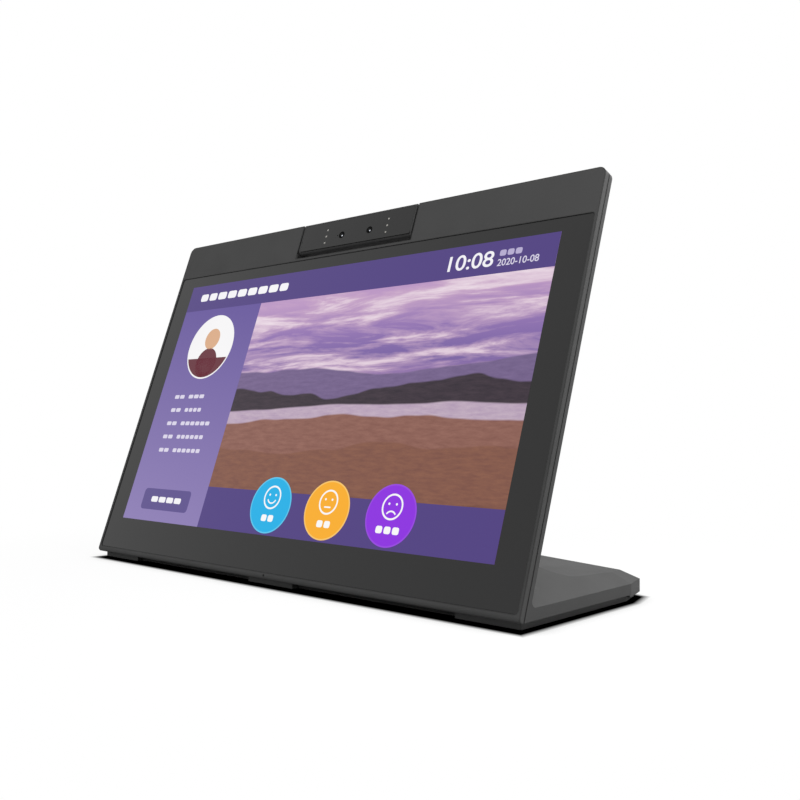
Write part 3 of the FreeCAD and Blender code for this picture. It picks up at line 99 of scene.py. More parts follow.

# Outline of the base for the floor's painted shadow: outward directions of its sides, for one half, and their reach
# in mm
PAINTED_SHADOW_OUTLINE = (
    ((1.0, 0.0, 0.0), 192.4),
    ((0.966, 0.2587, 0.0), 194.1),
    ((0.3083, 0.9513, 0.0), 108.7),
    ((0.0, 1.0, 0.0), 82.0),
    ((0.0, -1.0, 0.0), 81.1),
)
# How far outside that outline the painted shadow starts to fade and ends, and how far off the part paints shade on it
FADE_START, FADE_END, OCCLUSION_SHADE_REACH = 1.0 * MM, 6.0 * MM, 25 * MM
# Share of the real shadow that the floor shows, and the distances from the middle between which it fades away
SHADOW_SHARE, SHADOW_START, SHADOW_END = 0.07, 0.2, 0.42


# Colours and nodes

def linear(text):
    """The linear colour of an sRGB hex value."""
    parts = [int(text[i:i + 2], 16) / 255 for i in (1, 3, 5)]
    return tuple(p / 12.92 if p <= 0.04045 else ((p + 0.055) / 1.055) ** 2.4 for p in parts) + (1.0,)


def add_node(tree, kind, inputs=None, **settings):
    """One shader node with its settings, its values and its links."""
    node = tree.nodes.new(kind)
    for key, value in settings.items():
        setattr(node, key, value)
    for key, value in (inputs or {}).items():
        if isinstance(value, bpy.types.NodeSocket):
            tree.links.new(value, node.inputs[key])
        else:
            node.inputs[key].default_value = value
    return node


def new_material(name):
    material = bpy.data.materials.new(name)
    material.use_nodes = True
    material.node_tree.nodes.clear()
    return material, material.node_tree


def close_material(tree, shader):
    add_node(tree, "ShaderNodeOutputMaterial", {"Surface": shader})


def object_place(tree):
    return add_node(tree, "ShaderNodeTexCoord").outputs["Object"]


def mix_colours(tree, factor, low, high):
    """A colour between two, each given as a hex value or a socket."""
    low, high = (linear(colour) if isinstance(colour, str) else colour for colour in (low, high))
    return add_node(tree, "ShaderNodeMix", {"Factor": factor, "A": low, "B": high}, data_type="RGBA").outputs[2]


def mix_shaders(tree, factor, low, high):
    return add_node(tree, "ShaderNodeMixShader", {0: factor, 1: low.outputs[0], 2: high.outputs[0]})


def remap(tree, value, start, end, low=0.0, high=1.0, **settings):
    """Carries values from start to end over to low to high, and holds them beyond."""
    return add_node(tree, "ShaderNodeMapRange", {
        "Value": value, "From Min": start, "From Max": end, "To Min": low, "To Max": high},
        **settings).outputs["Result"]


def calculate(tree, operation, *values):
    return add_node(tree, "ShaderNodeMath", dict(enumerate(values)), operation=operation).outputs[0]


# Finishes

def surface(name, colours, roughness, grain_mm, height_mm, metallic=0.0, ior=1.5, edge_mm=0.3,
            stretch=(1, 1, 1), patch_mm=30.0, coat=0.0, line=None, edge_shade_shape=SOFT_EDGE_SHADE):
    """A finish whose colour and roughness drift over patches, with a grain of a real size and eased edges.

    With a line colour, sharp edges get a thin dark line of painted shade, where rounded edges would be shaded.
    """
    material, tree = new_material(name)
    place = object_place(tree)
    run = add_node(tree, "ShaderNodeMapping", {"Vector": place, "Scale": stretch}).outputs["Vector"]
    patches = add_node(tree, "ShaderNodeTexNoise", {
        "Vector": place, "Scale": 1 / (patch_mm * MM), "Detail": 3.0}).outputs["Fac"]
    grain = add_node(tree, "ShaderNodeTexNoise", {
        "Vector": run, "Scale": 1 / (grain_mm * MM), "Detail": 2.0}).outputs["Fac"]
    tint = mix_colours(tree, remap(tree, calculate(tree, "MULTIPLY", patches, grain), 0.12, 0.4), *colours)
    eased = add_node(tree, "ShaderNodeBevel", {"Radius": edge_mm * MM}, samples=4)
    # Painted shade: with a line colour, the colour darkens towards it where the surface turns sharply
    if line:
        reach, start, full, strength = edge_shade_shape
        wide = add_node(tree, "ShaderNodeBevel", {"Radius": reach * MM}, samples=8)
        flat = add_node(tree, "ShaderNodeNewGeometry").outputs["Normal"]
        turn = add_node(tree, "ShaderNodeVectorMath", {0: wide.outputs["Normal"], 1: flat}, operation="DOT_PRODUCT")
        tint = mix_colours(tree, remap(tree, turn.outputs["Value"], start, full, 0.0, strength), tint, line)
    bump = add_node(tree, "ShaderNodeBump", {
        "Height": grain, "Distance": height_mm * MM, "Strength": 1.0, "Normal": eased.outputs["Normal"]})
    shader = add_node(tree, "ShaderNodeBsdfPrincipled", {
        "Base Color": tint, "Metallic": metallic, "Roughness": remap(tree, patches, 0.3, 0.7, *roughness),
        "IOR": ior, "Coat Weight": coat, "Normal": bump.outputs["Normal"]})
    close_material(tree, shader.outputs["BSDF"])
    return material


def lit_film(tree, colour):
    """The display's own light, under a film that cuts glare."""
    shader = add_node(tree, "ShaderNodeBsdfPrincipled", {
        "Base Color": linear("#050505"), "Roughness": 0.3, "IOR": 1.45, "Specular IOR Level": 0.25,
        "Emission Color": colour, "Emission Strength": LIT})
    close_material(tree, shader.outputs["BSDF"])


def lit_layer(name, low, high):
    """Light from one flat area of the display, a little uneven, as a backlight is."""
    material, tree = new_material(name)
    uneven = add_node(tree, "ShaderNodeTexNoise", {
        "Vector": object_place(tree), "Scale": 1 / (60 * MM), "Detail": 1.0})
    lit_film(tree, mix_colours(tree, uneven.outputs["Fac"], low, high))
    return material


def side_panel_light():
    """Violet panel that pales towards its foot."""
    material, tree = new_material("lit_side_panel")
    uv = add_node(tree, "ShaderNodeUVMap", uv_map="UVMap").outputs["UV"]
    up = add_node(tree, "ShaderNodeSeparateXYZ", {"Vector": uv}).outputs["Y"]
    lit_film(tree, mix_colours(tree, up, "#8E7EB8", "#65539E"))
    return material


def landscape_light():
    """A generic dusk over rolling ground: streaked violet sky, far ridges and warm near slopes."""
    material, tree = new_material("lit_landscape")
    uv = add_node(tree, "ShaderNodeUVMap", uv_map="UVMap").outputs["UV"]
    parts = add_node(tree, "ShaderNodeSeparateXYZ", {"Vector": uv})
    across, up = parts.outputs["X"], parts.outputs["Y"]
    sky = add_node(tree, "ShaderNodeValToRGB", {"Fac": up})
    ramp = sky.color_ramp.elements
    for stop, (position, shade) in zip(ramp, (SKY[0], SKY[-1])):
        stop.position, stop.color = position, linear(shade)
    for position, shade in SKY[1:-1]:
        ramp.new(position).color = linear(shade)
    streak = add_node(tree, "ShaderNodeMapping", {"Vector": uv, "Scale": (2.2, 9.0, 1.0)}).outputs["Vector"]
    clouds = add_node(tree, "ShaderNodeTexNoise", {
        "Vector": streak, "Scale": 1.6, "Detail": 8.0, "Roughness": 0.62, "Distortion": 0.5}).outputs["Fac"]
    cloud = mix_colours(tree, remap(tree, clouds, 0.5, 0.7), "#D2AFCD", "#FBEEF4")
    picture = mix_colours(tree, remap(tree, clouds, 0.42, 0.58, 0.0, 0.95), sky.outputs["Color"], cloud)
    furrow = add_node(tree, "ShaderNodeMapping", {"Vector": uv, "Scale": (1.0, 2.6, 1.0)}).outputs["Vector"]
    ground = add_node(tree, "ShaderNodeTexNoise", {
        "Vector": furrow, "Scale": 30.0, "Detail": 7.0, "Roughness": 0.72}).outputs["Fac"]
    shade = remap(tree, ground, 0.35, 0.65)
    for base, swing, scale, shift, dark, light in RIDGES:
        line = add_node(tree, "ShaderNodeCombineXYZ", {"X": across, "Y": shift})
        wave = add_node(tree, "ShaderNodeTexNoise", {"Vector": line.outputs[0], "Scale": scale, "Detail": 3.0})
        top = calculate(tree, "MULTIPLY_ADD", wave.outputs["Fac"], swing * 2, base - swing)
        below = remap(tree, calculate(tree, "SUBTRACT", top, up), 0.0, 0.006)
        picture = mix_colours(tree, below, picture, mix_colours(tree, shade, dark, light))
    lit_film(tree, picture)
    return material


def woven_mesh():
    """Woven black outlet cloth, its checks drawn 1.2 mm wide so that they show."""
    material, tree = new_material("woven_outlet_cloth")
    weave = add_node(tree, "ShaderNodeTexChecker", {
        "Vector": object_place(tree), "Scale": 1 / (1.2 * MM), "Color1": linear("#050505"),
        "Color2": linear("#1A1A1A")})
    bump = add_node(tree, "ShaderNodeBump", {"Height": weave.outputs["Fac"], "Distance": 0.2 * MM, "Strength": 1.0})
    shader = add_node(tree, "ShaderNodeBsdfPrincipled", {
        "Base Color": weave.outputs["Color"], "Roughness": 0.9, "Sheen Weight": 0.2,
        "Normal": bump.outputs["Normal"]})
    close_material(tree, shader.outputs["BSDF"])
    return material


def circuit_board():
    """Green solder mask over copper tracks: paler lines about 3 mm apart under a smooth film."""
    material, tree = new_material("solder_mask_board")
    cells = add_node(tree, "ShaderNodeTexVoronoi", {
        "Vector": object_place(tree), "Scale": 1 / (3 * MM), "Randomness": 0.25}, feature="DISTANCE_TO_EDGE")
    track = remap(tree, cells.outputs["Distance"], 0.04, 0.1, 1.0, 0.0)
    bump = add_node(tree, "ShaderNodeBump", {"Height": track, "Distance": 0.05 * MM, "Strength": 1.0})
    shader = add_node(tree, "ShaderNodeBsdfPrincipled", {
        "Base Color": mix_colours(tree, track, "#0C3B22", "#1F6A3C"), "Roughness": 0.3,
        "Normal": bump.outputs["Normal"]})
    close_material(tree, shader.outputs["BSDF"])
    return material


def seen_directly(tree):
    """1 for the eye and for reflections in gloss and glass, 0 for soft light."""
    path = add_node(tree, "ShaderNodeLightPath").outputs
    mirrored = calculate(tree, "MAXIMUM", path["Is Camera Ray"], path["Is Glossy Ray"])
    return calculate(tree, "MAXIMUM", mirrored, path["Is Transmission Ray"])


def floor_sheet():
    """White paper: seen white, painted black as shadow where the base all but lies on it, with a faint soft shadow
    around.
    """
    material, tree = new_material("matte_white_floor")
    place = object_place(tree)
    half = add_node(tree, "ShaderNodeVectorMath", {0: place}, operation="ABSOLUTE").outputs["Vector"]
    across = add_node(tree, "ShaderNodeSeparateXYZ", {"Vector": half}).outputs["X"]
    deep = add_node(tree, "ShaderNodeSeparateXYZ", {"Vector": place}).outputs["Y"]
    folded = add_node(tree, "ShaderNodeCombineXYZ", {"X": across, "Y": deep}).outputs["Vector"]
    outside = -1.0
    # Painted shadow: the floor is black inside the base's outline and fades out just beyond it
    for direction, reach in PAINTED_SHADOW_OUTLINE:
        along = add_node(tree, "ShaderNodeVectorMath", {0: folded, 1: direction}, operation="DOT_PRODUCT")
        past = calculate(tree, "SUBTRACT", along.outputs["Value"], reach * MM)
        outside = calculate(tree, "MAXIMUM", outside, past)
    edge = remap(tree, outside, FADE_START, FADE_END)
    # Painted shade: the part's nearness, found by occlusion, dims the floor's white glow
    gap = add_node(tree, "ShaderNodeAmbientOcclusion", {"Distance": OCCLUSION_SHADE_REACH}, samples=12)
    light = calculate(tree, "MULTIPLY", edge, remap(tree, gap.outputs["AO"], 0.0, 0.86))
    glow = add_node(tree, "ShaderNodeEmission", {"Color": linear("#FFFFFF"), "Strength": light})
    shaded = add_node(tree, "ShaderNodeBsdfDiffuse", {"Color": linear("#FFFFFF")})
    away = add_node(tree, "ShaderNodeVectorMath", {0: place}, operation="LENGTH").outputs["Value"]
    near = remap(tree, away, SHADOW_START, SHADOW_END, SHADOW_SHARE, 0.0, interpolation_type="SMOOTHSTEP")
    seen = mix_shaders(tree, calculate(tree, "MULTIPLY", near, edge), glow, shaded)
    dull = add_node(tree, "ShaderNodeBsdfDiffuse", {"Color": linear("#A8A8A8")})
    close_material(tree, mix_shaders(tree, seen_directly(tree), dull, seen).outputs[0])
    return material


def build_finishes(settings):
    """The finish of each material slot."""
    shell = settings.shell_colour
    return {
        # Moulded ABS with a fine spark-eroded grain: dark, matte, soft broad highlights, painted shade along sharp
        # edges
        "shell": surface("grained_abs", (shell, settings.shell_light), (0.68, 0.8), 0.35, 0.02, ior=1.48,
                         line="#0C0C0C"),
        # The same ABS on the front frame and the camera bar, with a broader dark line of painted shade at its crisp
        # edges
        "front_shell": surface("crisp_edged_abs", (shell, settings.shell_light), (0.68, 0.8), 0.35, 0.02, ior=1.48,
                               line="#0C0C0C", edge_shade_shape=BROAD_EDGE_SHADE),
        # The same ABS under the base, a little darker, with painted shade along its sharp edges
        "under_plastic": surface("darker_under_abs", ("#2B2B2B", "#343434"), (0.6, 0.72), 0.6, 0.02, ior=1.48,
                                 line="#080808"),
        # Float glass, printed dark on its back: even, smooth, deep
        "cover_glass": surface("back_printed_glass", ("#0F0F0F", "#111111"), (0.1, 0.13), 2.0, 0.0008, ior=1.45,
                               edge_mm=0.15, patch_mm=90),
        # Foam tape: dull and open
        "bond": surface("foam_tape", ("#0B0B0B", "#161616"), (0.9, 0.98), 0.4, 0.05),
        # Display cell: polarising film, near black
        "display": surface("polariser_film", ("#0B0B10", "#12121A"), (0.2, 0.26), 1.5, 0.001),
        # Diffuser sheet: white and satin
        "diffuser": surface("diffuser_sheet", ("#D6D6D6", "#E4E4E4"), (0.4, 0.5), 0.8, 0.005),
        # Rolled zinc-plated steel: pale grey with fine long marks
        "sheet_steel": surface("zinc_plated_steel", ("#9EA1A3", "#C2C4C6"), (0.3, 0.46), 0.5, 0.006, metallic=1.0,
                               stretch=(0.05, 1, 1)),
        # Turned and plated screws and pins
        "screw_steel": surface("plated_screw_steel", ("#77797B", "#9A9C9E"), (0.28, 0.42), 0.3, 0.004, metallic=1.0,
                               edge_mm=0.12),
        # Primed steel plate: dark and even
        "weight_steel": surface("primed_steel", ("#1E1F21", "#2B2C2F"), (0.5, 0.62), 0.5, 0.02),
        "circuit_board": circuit_board(),
        # Moulded rubber: near black, dull, with a soft bloom
        "rubber": surface("moulded_rubber", ("#1B1B1B", "#2A2A2A"), (0.78, 0.92), 0.5, 0.03),
        # Smooth black PBT of sockets and speakers
        "black_plastic": surface("black_pbt", ("#0D0D0D", "#171717"), (0.35, 0.48), 0.5, 0.006, edge_mm=0.15),
        "mesh": woven_mesh(),
        # Infrared-passing acrylic: dark, hard and slightly glossy
        "bar_face": surface("dark_acrylic", ("#0B0B0B", "#0E0E0E"), (0.16, 0.2), 2.0, 0.0008, ior=1.41, edge_mm=0.15),
        # Lens barrel: black anodised
        "lens": surface("black_lens_barrel", ("#08080A", "#101013"), (0.16, 0.24), 0.4, 0.002, edge_mm=0.1),
        # Clear epoxy lamp domes over a pale cup
        "lamp": surface("epoxy_lamp", ("#8D8A82", "#B4B0A6"), (0.12, 0.2), 0.4, 0.002, edge_mm=0.1, coat=0.6),
        # Turned brass
        "bush_brass": surface("turned_brass", ("#A37C3A", "#C79E58"), (0.2, 0.34), 0.3, 0.003, metallic=1.0),
        # Acetal washers: waxy white
        "washer_plastic": surface("acetal_washer", ("#CFCABD", "#DEDACF"), (0.35, 0.45), 0.6, 0.004),
        # Extruded and anodised aluminium fins
        "aluminium": surface("anodised_aluminium", ("#A9ABAD", "#C6C8CA"), (0.3, 0.4), 0.4, 0.005, metallic=1.0,
                             stretch=(1, 0.06, 1)),
        # Tinned socket shells
        "socket_metal": surface("tinned_socket_steel", ("#A5A7A8", "#C7C8C9"), (0.2, 0.34), 0.4, 0.003, metallic=1.0,
                                edge_mm=0.1),
        # Polyimide film cable: amber with faint traces
        "ribbon": surface("polyimide_film", ("#8A4E12", "#B4741F"), (0.25, 0.36), 1.0, 0.01, stretch=(1, 0.05, 0.05)),
    }


# Modelling

def deselect():
    if bpy.context.object and bpy.context.object.mode != "OBJECT":
        bpy.ops.object.mode_set(mode="OBJECT")
    bpy.ops.object.select_all(action="DESELECT")


def glass_matrix(across=PICTURE_LEFT, up=PICTURE_FOOT, out=0.0):
    """Places a piece drawn flat in millimetres: its own zero lies across, up and out from the glass's foot.

    As given, that is the lower left corner of the picture.
    """
    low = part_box("cover_glass")[0]
    edge = Vector((0, low.y, low.z + GLASS_THICK * math.sin(LEAN)))
    turn = Matrix.Rotation(math.radians(90) - LEAN, 4, "X")
    start = Matrix.Translation((across * MM, up * MM, out * MM))
    return Matrix.Translation(edge) @ turn @ start @ Matrix.Scale(MM, 4)


def apply_modifier(piece, kind, **settings):
    modifier = piece.modifiers.new(kind.title(), kind)
    for key, value in settings.items():
        setattr(modifier, key, value)
    bpy.ops.object.modifier_apply(modifier=modifier.name)


def thicken(piece, thick):
    """Gives a flat outline its thickness, upwards."""
    apply_modifier(piece, "SOLIDIFY", thickness=thick, offset=1.0)


def panel(left, foot, width, height, corner, layer, round_steps=8):
    """A flat rounded panel on the screen."""
    deselect()
    bpy.ops.mesh.primitive_plane_add(size=1, location=(left + width / 2, foot + height / 2, layer * LAYER))
    piece = bpy.context.object
    bpy.ops.object.mode_set(mode="EDIT")
    bpy.ops.mesh.select_all(action="SELECT")
    bpy.ops.transform.resize(value=(width, height, 1))
    if corner:
        bpy.ops.mesh.bevel(offset=corner, segments=round_steps, affect="VERTICES")
    bpy.ops.object.mode_set(mode="OBJECT")
    bpy.ops.object.transform_apply(location=True, rotation=True, scale=True)
    thicken(piece, LAYER)
    return piece


def disc(x, y, radius, layer, steps=96):
    """A flat round panel on the screen."""
    deselect()
    bpy.ops.mesh.primitive_circle_add(vertices=steps, radius=radius, fill_type="NGON",
                                      location=(x, y, layer * LAYER))
    piece = bpy.context.object
    bpy.ops.object.transform_apply(location=True, rotation=True, scale=True)
    thicken(piece, LAYER)
    return piece


def band(x, y, radius, width, layer, start=0.0, sweep=360.0, steps=72):
    """A ring, or an arc of one, drawn as a line of the given width."""
    deselect()
    bpy.ops.mesh.primitive_circle_add(vertices=steps, radius=radius, fill_type="NOTHING",
                                      location=(x, y, layer * LAYER))
    piece = bpy.context.object
    bpy.ops.object.mode_set(mode="EDIT")
    mesh = bmesh.from_edit_mesh(piece.data)
    for vertex in mesh.verts:
        angle = math.degrees(math.atan2(vertex.co.y, vertex.co.x))
        vertex.select = sweep < 360 and (angle - start) % 360 > sweep
    mesh.select_flush_mode()
    bmesh.update_edit_mesh(piece.data)
    if sweep < 360:
        bpy.ops.mesh.delete(type="VERT")
    bpy.ops.mesh.select_all(action="SELECT")
    bpy.ops.mesh.extrude_edges_move()
    inner = (radius - width) / radius
    bpy.ops.transform.resize(value=(inner, inner, 1), center_override=(x, y, layer * LAYER))
    bpy.ops.mesh.select_all(action="SELECT")
    bpy.ops.mesh.normals_make_consistent(inside=False)
    bpy.ops.object.mode_set(mode="OBJECT")
    bpy.ops.object.transform_apply(location=True, rotation=True, scale=True)
    if piece.data.polygons[0].normal.z < 0:
        piece.data.flip_normals()
    thicken(piece, LAYER)
    return piece


def dome(x, y, foot, radius, rise, steps=32):
    """A low closed dome."""
    deselect()
    bpy.ops.mesh.primitive_uv_sphere_add(segments=steps, ring_count=steps // 2, radius=radius, location=(x, y, foot))
    piece = bpy.context.object
    bpy.ops.object.mode_set(mode="EDIT")
    bpy.ops.mesh.select_all(action="SELECT")
    bpy.ops.mesh.bisect(plane_co=(x, y, foot), plane_no=(0, 0, 1), use_fill=True, clear_inner=True)
    bpy.ops.mesh.select_all(action="SELECT")
    bpy.ops.transform.resize(value=(1, 1, rise / radius), center_override=(x, y, foot))
    bpy.ops.mesh.normals_make_consistent(inside=False)
    bpy.ops.object.mode_set(mode="OBJECT")
    bpy.ops.object.transform_apply(location=True, rotation=True, scale=True)
    bpy.ops.object.select_all(action="DESELECT")
    piece.select_set(True)
    bpy.ops.object.shade_smooth_by_angle(angle=math.radians(40))
    return piece


def rim(x, y, foot, outer, inner, height, steps=48):
    """A round rim with a softened top edge."""
    piece = band(x, y, outer, outer - inner, 0, steps=steps)
    piece.data.transform(Matrix.Translation((0, 0, foot)) @ Matrix.Diagonal((1, 1, height / LAYER, 1)))
    apply_modifier(piece, "BEVEL", width=height * 0.3, segments=2, limit_method="ANGLE")
    return piece


def digits(text, left, foot, width, height, stroke, layer):
    """Plain digits, as on a clock, fitted to a width and height; stroke widens their lines."""
    deselect()
    bpy.ops.object.text_add(location=(left, foot, layer * LAYER))
    letters = bpy.context.object
    letters.data.body = text
    letters.data.size = height / 0.7
    letters.data.offset = stroke
    bpy.ops.object.convert(target="MESH")
    piece = bpy.context.object
    piece.scale = (width / piece.dimensions.x, height / piece.dimensions.y, 1)
    bpy.ops.object.transform_apply(location=True, rotation=True, scale=True)
    bpy.ops.object.mode_set(mode="EDIT")
    bpy.ops.mesh.select_all(action="SELECT")
    bpy.ops.mesh.remove_doubles(threshold=0.001)
    bpy.ops.object.mode_set(mode="OBJECT")
    thicken(piece, LAYER)
    return piece


def gather(name, pieces, matrix, material, body):
    """Joins pieces of one finish, sets them in place and lets them ride on a body."""
    deselect()
    for piece in pieces:
        piece.select_set(True)
    bpy.context.view_layer.objects.active = pieces[0]
    if len(pieces) > 1:
        bpy.ops.object.join()
    piece = bpy.context.object
    piece.name = name
    piece.data.name = name
    piece.data.transform(matrix)
    piece.data.materials.clear()
    piece.data.materials.append(material)
    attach(piece, body)
    return piece


def smile(x, y, mood):
    """A round outline face: 1 smiles, 0 is level and -1 frowns."""
    parts = [band(x, y + 5.2, 8.0, 1.15, 3)]
    parts += [disc(x + side * 2.9, y + 6.9, 0.75, 3, 24) for side in (-1, 1)]
    if mood > 0:
        parts.append(band(x, y + 5.4, 4.6, 0.95, 3, 205, 130))
    elif mood < 0:
        parts.append(band(x, y - 1.6, 4.6, 0.95, 3, 35, 110))
    else:
        parts.append(panel(x - 2.8, y + 1.5, 5.6, 0.95, 0.4, 3, 3))
    return parts


def words(left, middle, height, lengths, gap, layer=3):
    """A line of text as plain rounded bars."""
    bars = []
    for length in lengths:
        bars.append(panel(left, middle - height / 2, length, height, height * 0.3, layer, 4))
        left += length + gap
    return bars


class TerminalFinishSettings(bpy.types.PropertyGroup):
    shell_colour: StringProperty(name="Shell", description="Darker tone of the shell, as sRGB hex",
                                 default="#383838")
    shell_light: StringProperty(name="Shell light", description="Lighter tone of the shell, as sRGB hex",
                                default="#3E3E3E")


class TerminalScreenSettings(bpy.types.PropertyGroup):
    bar_colour: StringProperty(name="Bars", description="Title and foot bars, as sRGB hex", default="#4F3D83")
    good_colour: StringProperty(name="Good", description="First feedback button, as sRGB hex", default="#10B4EC")
    fair_colour: StringProperty(name="Fair", description="Second feedback button, as sRGB hex", default="#FFB224")
    poor_colour: StringProperty(name="Poor", description="Third feedback button, as sRGB hex", default="#8F2AE6")
    button_radius: FloatProperty(name="Button radius", description="Radius of a feedback button, in millimetres",
                                 default=19.0, min=5.0)


class TerminalStageSettings(bpy.types.PropertyGroup):
    camera_place: FloatVectorProperty(name="Camera", description="Place of the camera", subtype="TRANSLATION",
                                      unit="LENGTH", size=3, default=(0.4656, -0.4850, 0.1064))
    camera_aim: FloatVectorProperty(name="Aim", description="Direction that the camera looks in", subtype="DIRECTION",
                                    size=3, default=(-0.6958, 0.7180, 0.0192))
    camera_lens: FloatProperty(name="Lens", description="Focal length", subtype="DISTANCE_CAMERA", default=43.587)


class TERMINAL_OT_finishes(bpy.types.Operator):
    """Give every piece of the terminal its finish"""
    bl_idname = "terminal.finishes"
    bl_label = "Finish the Pieces"

    def execute(self, context):
        finishes = build_finishes(context.scene.terminal_finish)
        for part in frame["record"]["subparts"]:
            piece = NODES[part["node"]]
            piece.data.materials.clear()
            slot = "front_shell" if part["node"] in CRISP_EDGED else part["material_slot"]
            piece.data.materials.append(finishes[slot])
        return {"FINISHED"}


class TERMINAL_OT_screen(bpy.types.Operator):
    """Lay the lit picture, its panels and its texts on the glass"""
    bl_idname = "terminal.screen"
    bl_label = "Light the Screen"

    def execute(self, context):
        settings = context.scene.terminal_screen
        on_glass = glass_matrix()
        bars = lit_layer("lit_bars", settings.bar_colour, settings.bar_colour)
        white = lit_layer("lit_white", "#F4F2FA", "#FFFFFF")
        pale = lit_layer("lit_pale_text", "#D9D3EA", "#E6E1F2")
        gather("screen_landscape", [panel(0, 0, PICTURE_WIDE, PICTURE_HIGH, 0, 0)], on_glass, landscape_light(),
               "terminal")
        title_bar = panel(0, TITLE_FOOT, PICTURE_WIDE, PICTURE_HIGH - TITLE_FOOT, 0, 1)
        foot_bar = panel(SIDE_WIDE, 0, PICTURE_WIDE - SIDE_WIDE, FOOT_TOP, 0, 1)
        gather("screen_bars", [title_bar, foot_bar], on_glass, bars, "terminal")
        gather("screen_side_panel", [panel(0, 0, SIDE_WIDE, TITLE_FOOT, 0, 1)], on_glass, side_panel_light(),
               "terminal")
        gather("screen_guide_button", [panel(18.5, 8.6, 57, 16, 3, 2)], on_glass,
               lit_layer("lit_guide_button", "#5A4C8C", "#5F5192"), "terminal")
        gather("screen_guide_text", words(29.5, 16.6, 4.2, (8, 8, 8, 8), 1.4), on_glass, white,
               "terminal")
        gather("screen_title", words(15, 182.6, 6.2, (9, 9, 10, 10, 10, 10, 10, 10, 9), 2.0, 2), on_glass, white,
               "terminal")
        # Rows of facts: their middles, and the widths of what follows the label
        rows = ((98, 20), (87.2, 21), (76.4, 36), (65.7, 33), (55, 34))
        label_left, value_left, word_high, word_wide, gap = 20, 37.5, 3.0, 6, 1.2
        lines = []
        for up, value in rows:
            lines += words(label_left, up, word_high, (word_wide - gap / 2,) * 2, gap, 2)
            pieces = max(2, round(value / word_wide))
            lines += words(value_left, up, word_high, (value / pieces - gap,) * pieces, gap, 2)
        gather("screen_rows", lines, on_glass, pale, "terminal")
        gather("screen_clock", [digits("10:08", 262.7, 177.0, 34.0, 10.6, 0.13, 2)], on_glass, white,
               "terminal")
        gather("screen_date", [digits("2020-10-08", 303.2, 176.4, 29.0, 4.6, 0.05, 2)], on_glass, pale,
               "terminal")
        gather("screen_weekday", words(303.8, 185.0, 4.0, (4.6, 4.6, 4.6), 1.0, 2), on_glass,
               lit_layer("lit_dim_text", "#B4A9D2", "#C2B8DB"), "terminal")
        return {"FINISHED"}


class TERMINAL_OT_badge(bpy.types.Operator):
    """Add the round badge with a plain head-and-shoulders sign"""
    bl_idname = "terminal.badge"
    bl_label = "Add the Badge"

    def execute(self, context):
        on_glass = glass_matrix()
        x, y, radius = 45.8, 138.9, 26.5
        gather("badge_ground", [disc(x, y, radius, 2)], on_glass, lit_layer("lit_badge_ground", "#F6F3F6", "#FFFFFF"),
               "terminal")
        gather("badge_head", [disc(x, y + 6.5, 8.6, 3, 64)], on_glass,
               lit_layer("lit_badge_head", "#D9A781", "#E3B48F"), "terminal")
        deselect()
        bpy.ops.mesh.primitive_circle_add(vertices=128, radius=radius - 1.2, fill_type="NGON",
                                          location=(x, y, 3 * LAYER))
        coat = bpy.context.object
        bpy.ops.object.mode_set(mode="EDIT")
        bpy.ops.mesh.select_all(action="SELECT")
        bpy.ops.mesh.bisect(plane_co=(x, y - 9.5, 0), plane_no=(0, 1, 0), clear_outer=True)
        bpy.ops.object.mode_set(mode="OBJECT")
        bpy.ops.object.transform_apply(location=True, rotation=True, scale=True)
        thicken(coat, LAYER)
        shoulders = disc(x, y - 13.2, 12.0, 3, 64)
        gather("badge_coat", [coat, shoulders], on_glass, lit_layer("lit_badge_coat", "#5E2230", "#6B2A38"),
               "terminal")
        return {"FINISHED"}


class TERMINAL_OT_feedback(bpy.types.Operator):
    """Add the three round feedback buttons with their faces"""
    bl_idname = "terminal.feedback"
    bl_label = "Add the Feedback Buttons"

    def execute(self, context):
        settings = context.scene.terminal_screen
        on_glass = glass_matrix()
        white = lit_layer("lit_button_sign", "#FFFFFF", "#FFFFFF")
        # Name, middle, colour, rim's colour, mood of the face and number of words
        buttons = (
            ("good", 162.0, 20.2, settings.good_colour, "#5CCBF2", 1, 2),
            ("fair", 214.0, 20.2, settings.fair_colour, "#FFCB6B", 0, 2),
            ("poor", 266.4, 20.6, settings.poor_colour, "#9A45E6", -1, 3),
        )
        word_wide, word_high, gap = 5.0, 4.4, 1.4
        for name, x, y, colour, rim_colour, mood, count in buttons:
            gather(f"feedback_{name}", [disc(x, y, settings.button_radius, 2)], on_glass,
                   lit_layer(f"lit_{name}", colour, colour), "terminal")
            gather(f"feedback_{name}_rim", [band(x, y, settings.button_radius, 0.9, 3, steps=96)], on_glass,
                   lit_layer(f"lit_{name}_rim", rim_colour, rim_colour), "terminal")
            width = word_wide * count + gap * (count - 1)
            signs = smile(x, y, mood) + words(x - width / 2, y - 8.8, word_high, (word_wide,) * count, gap)
            gather(f"feedback_{name}_sign", signs, on_glass, white, "terminal")
        return {"FINISHED"}


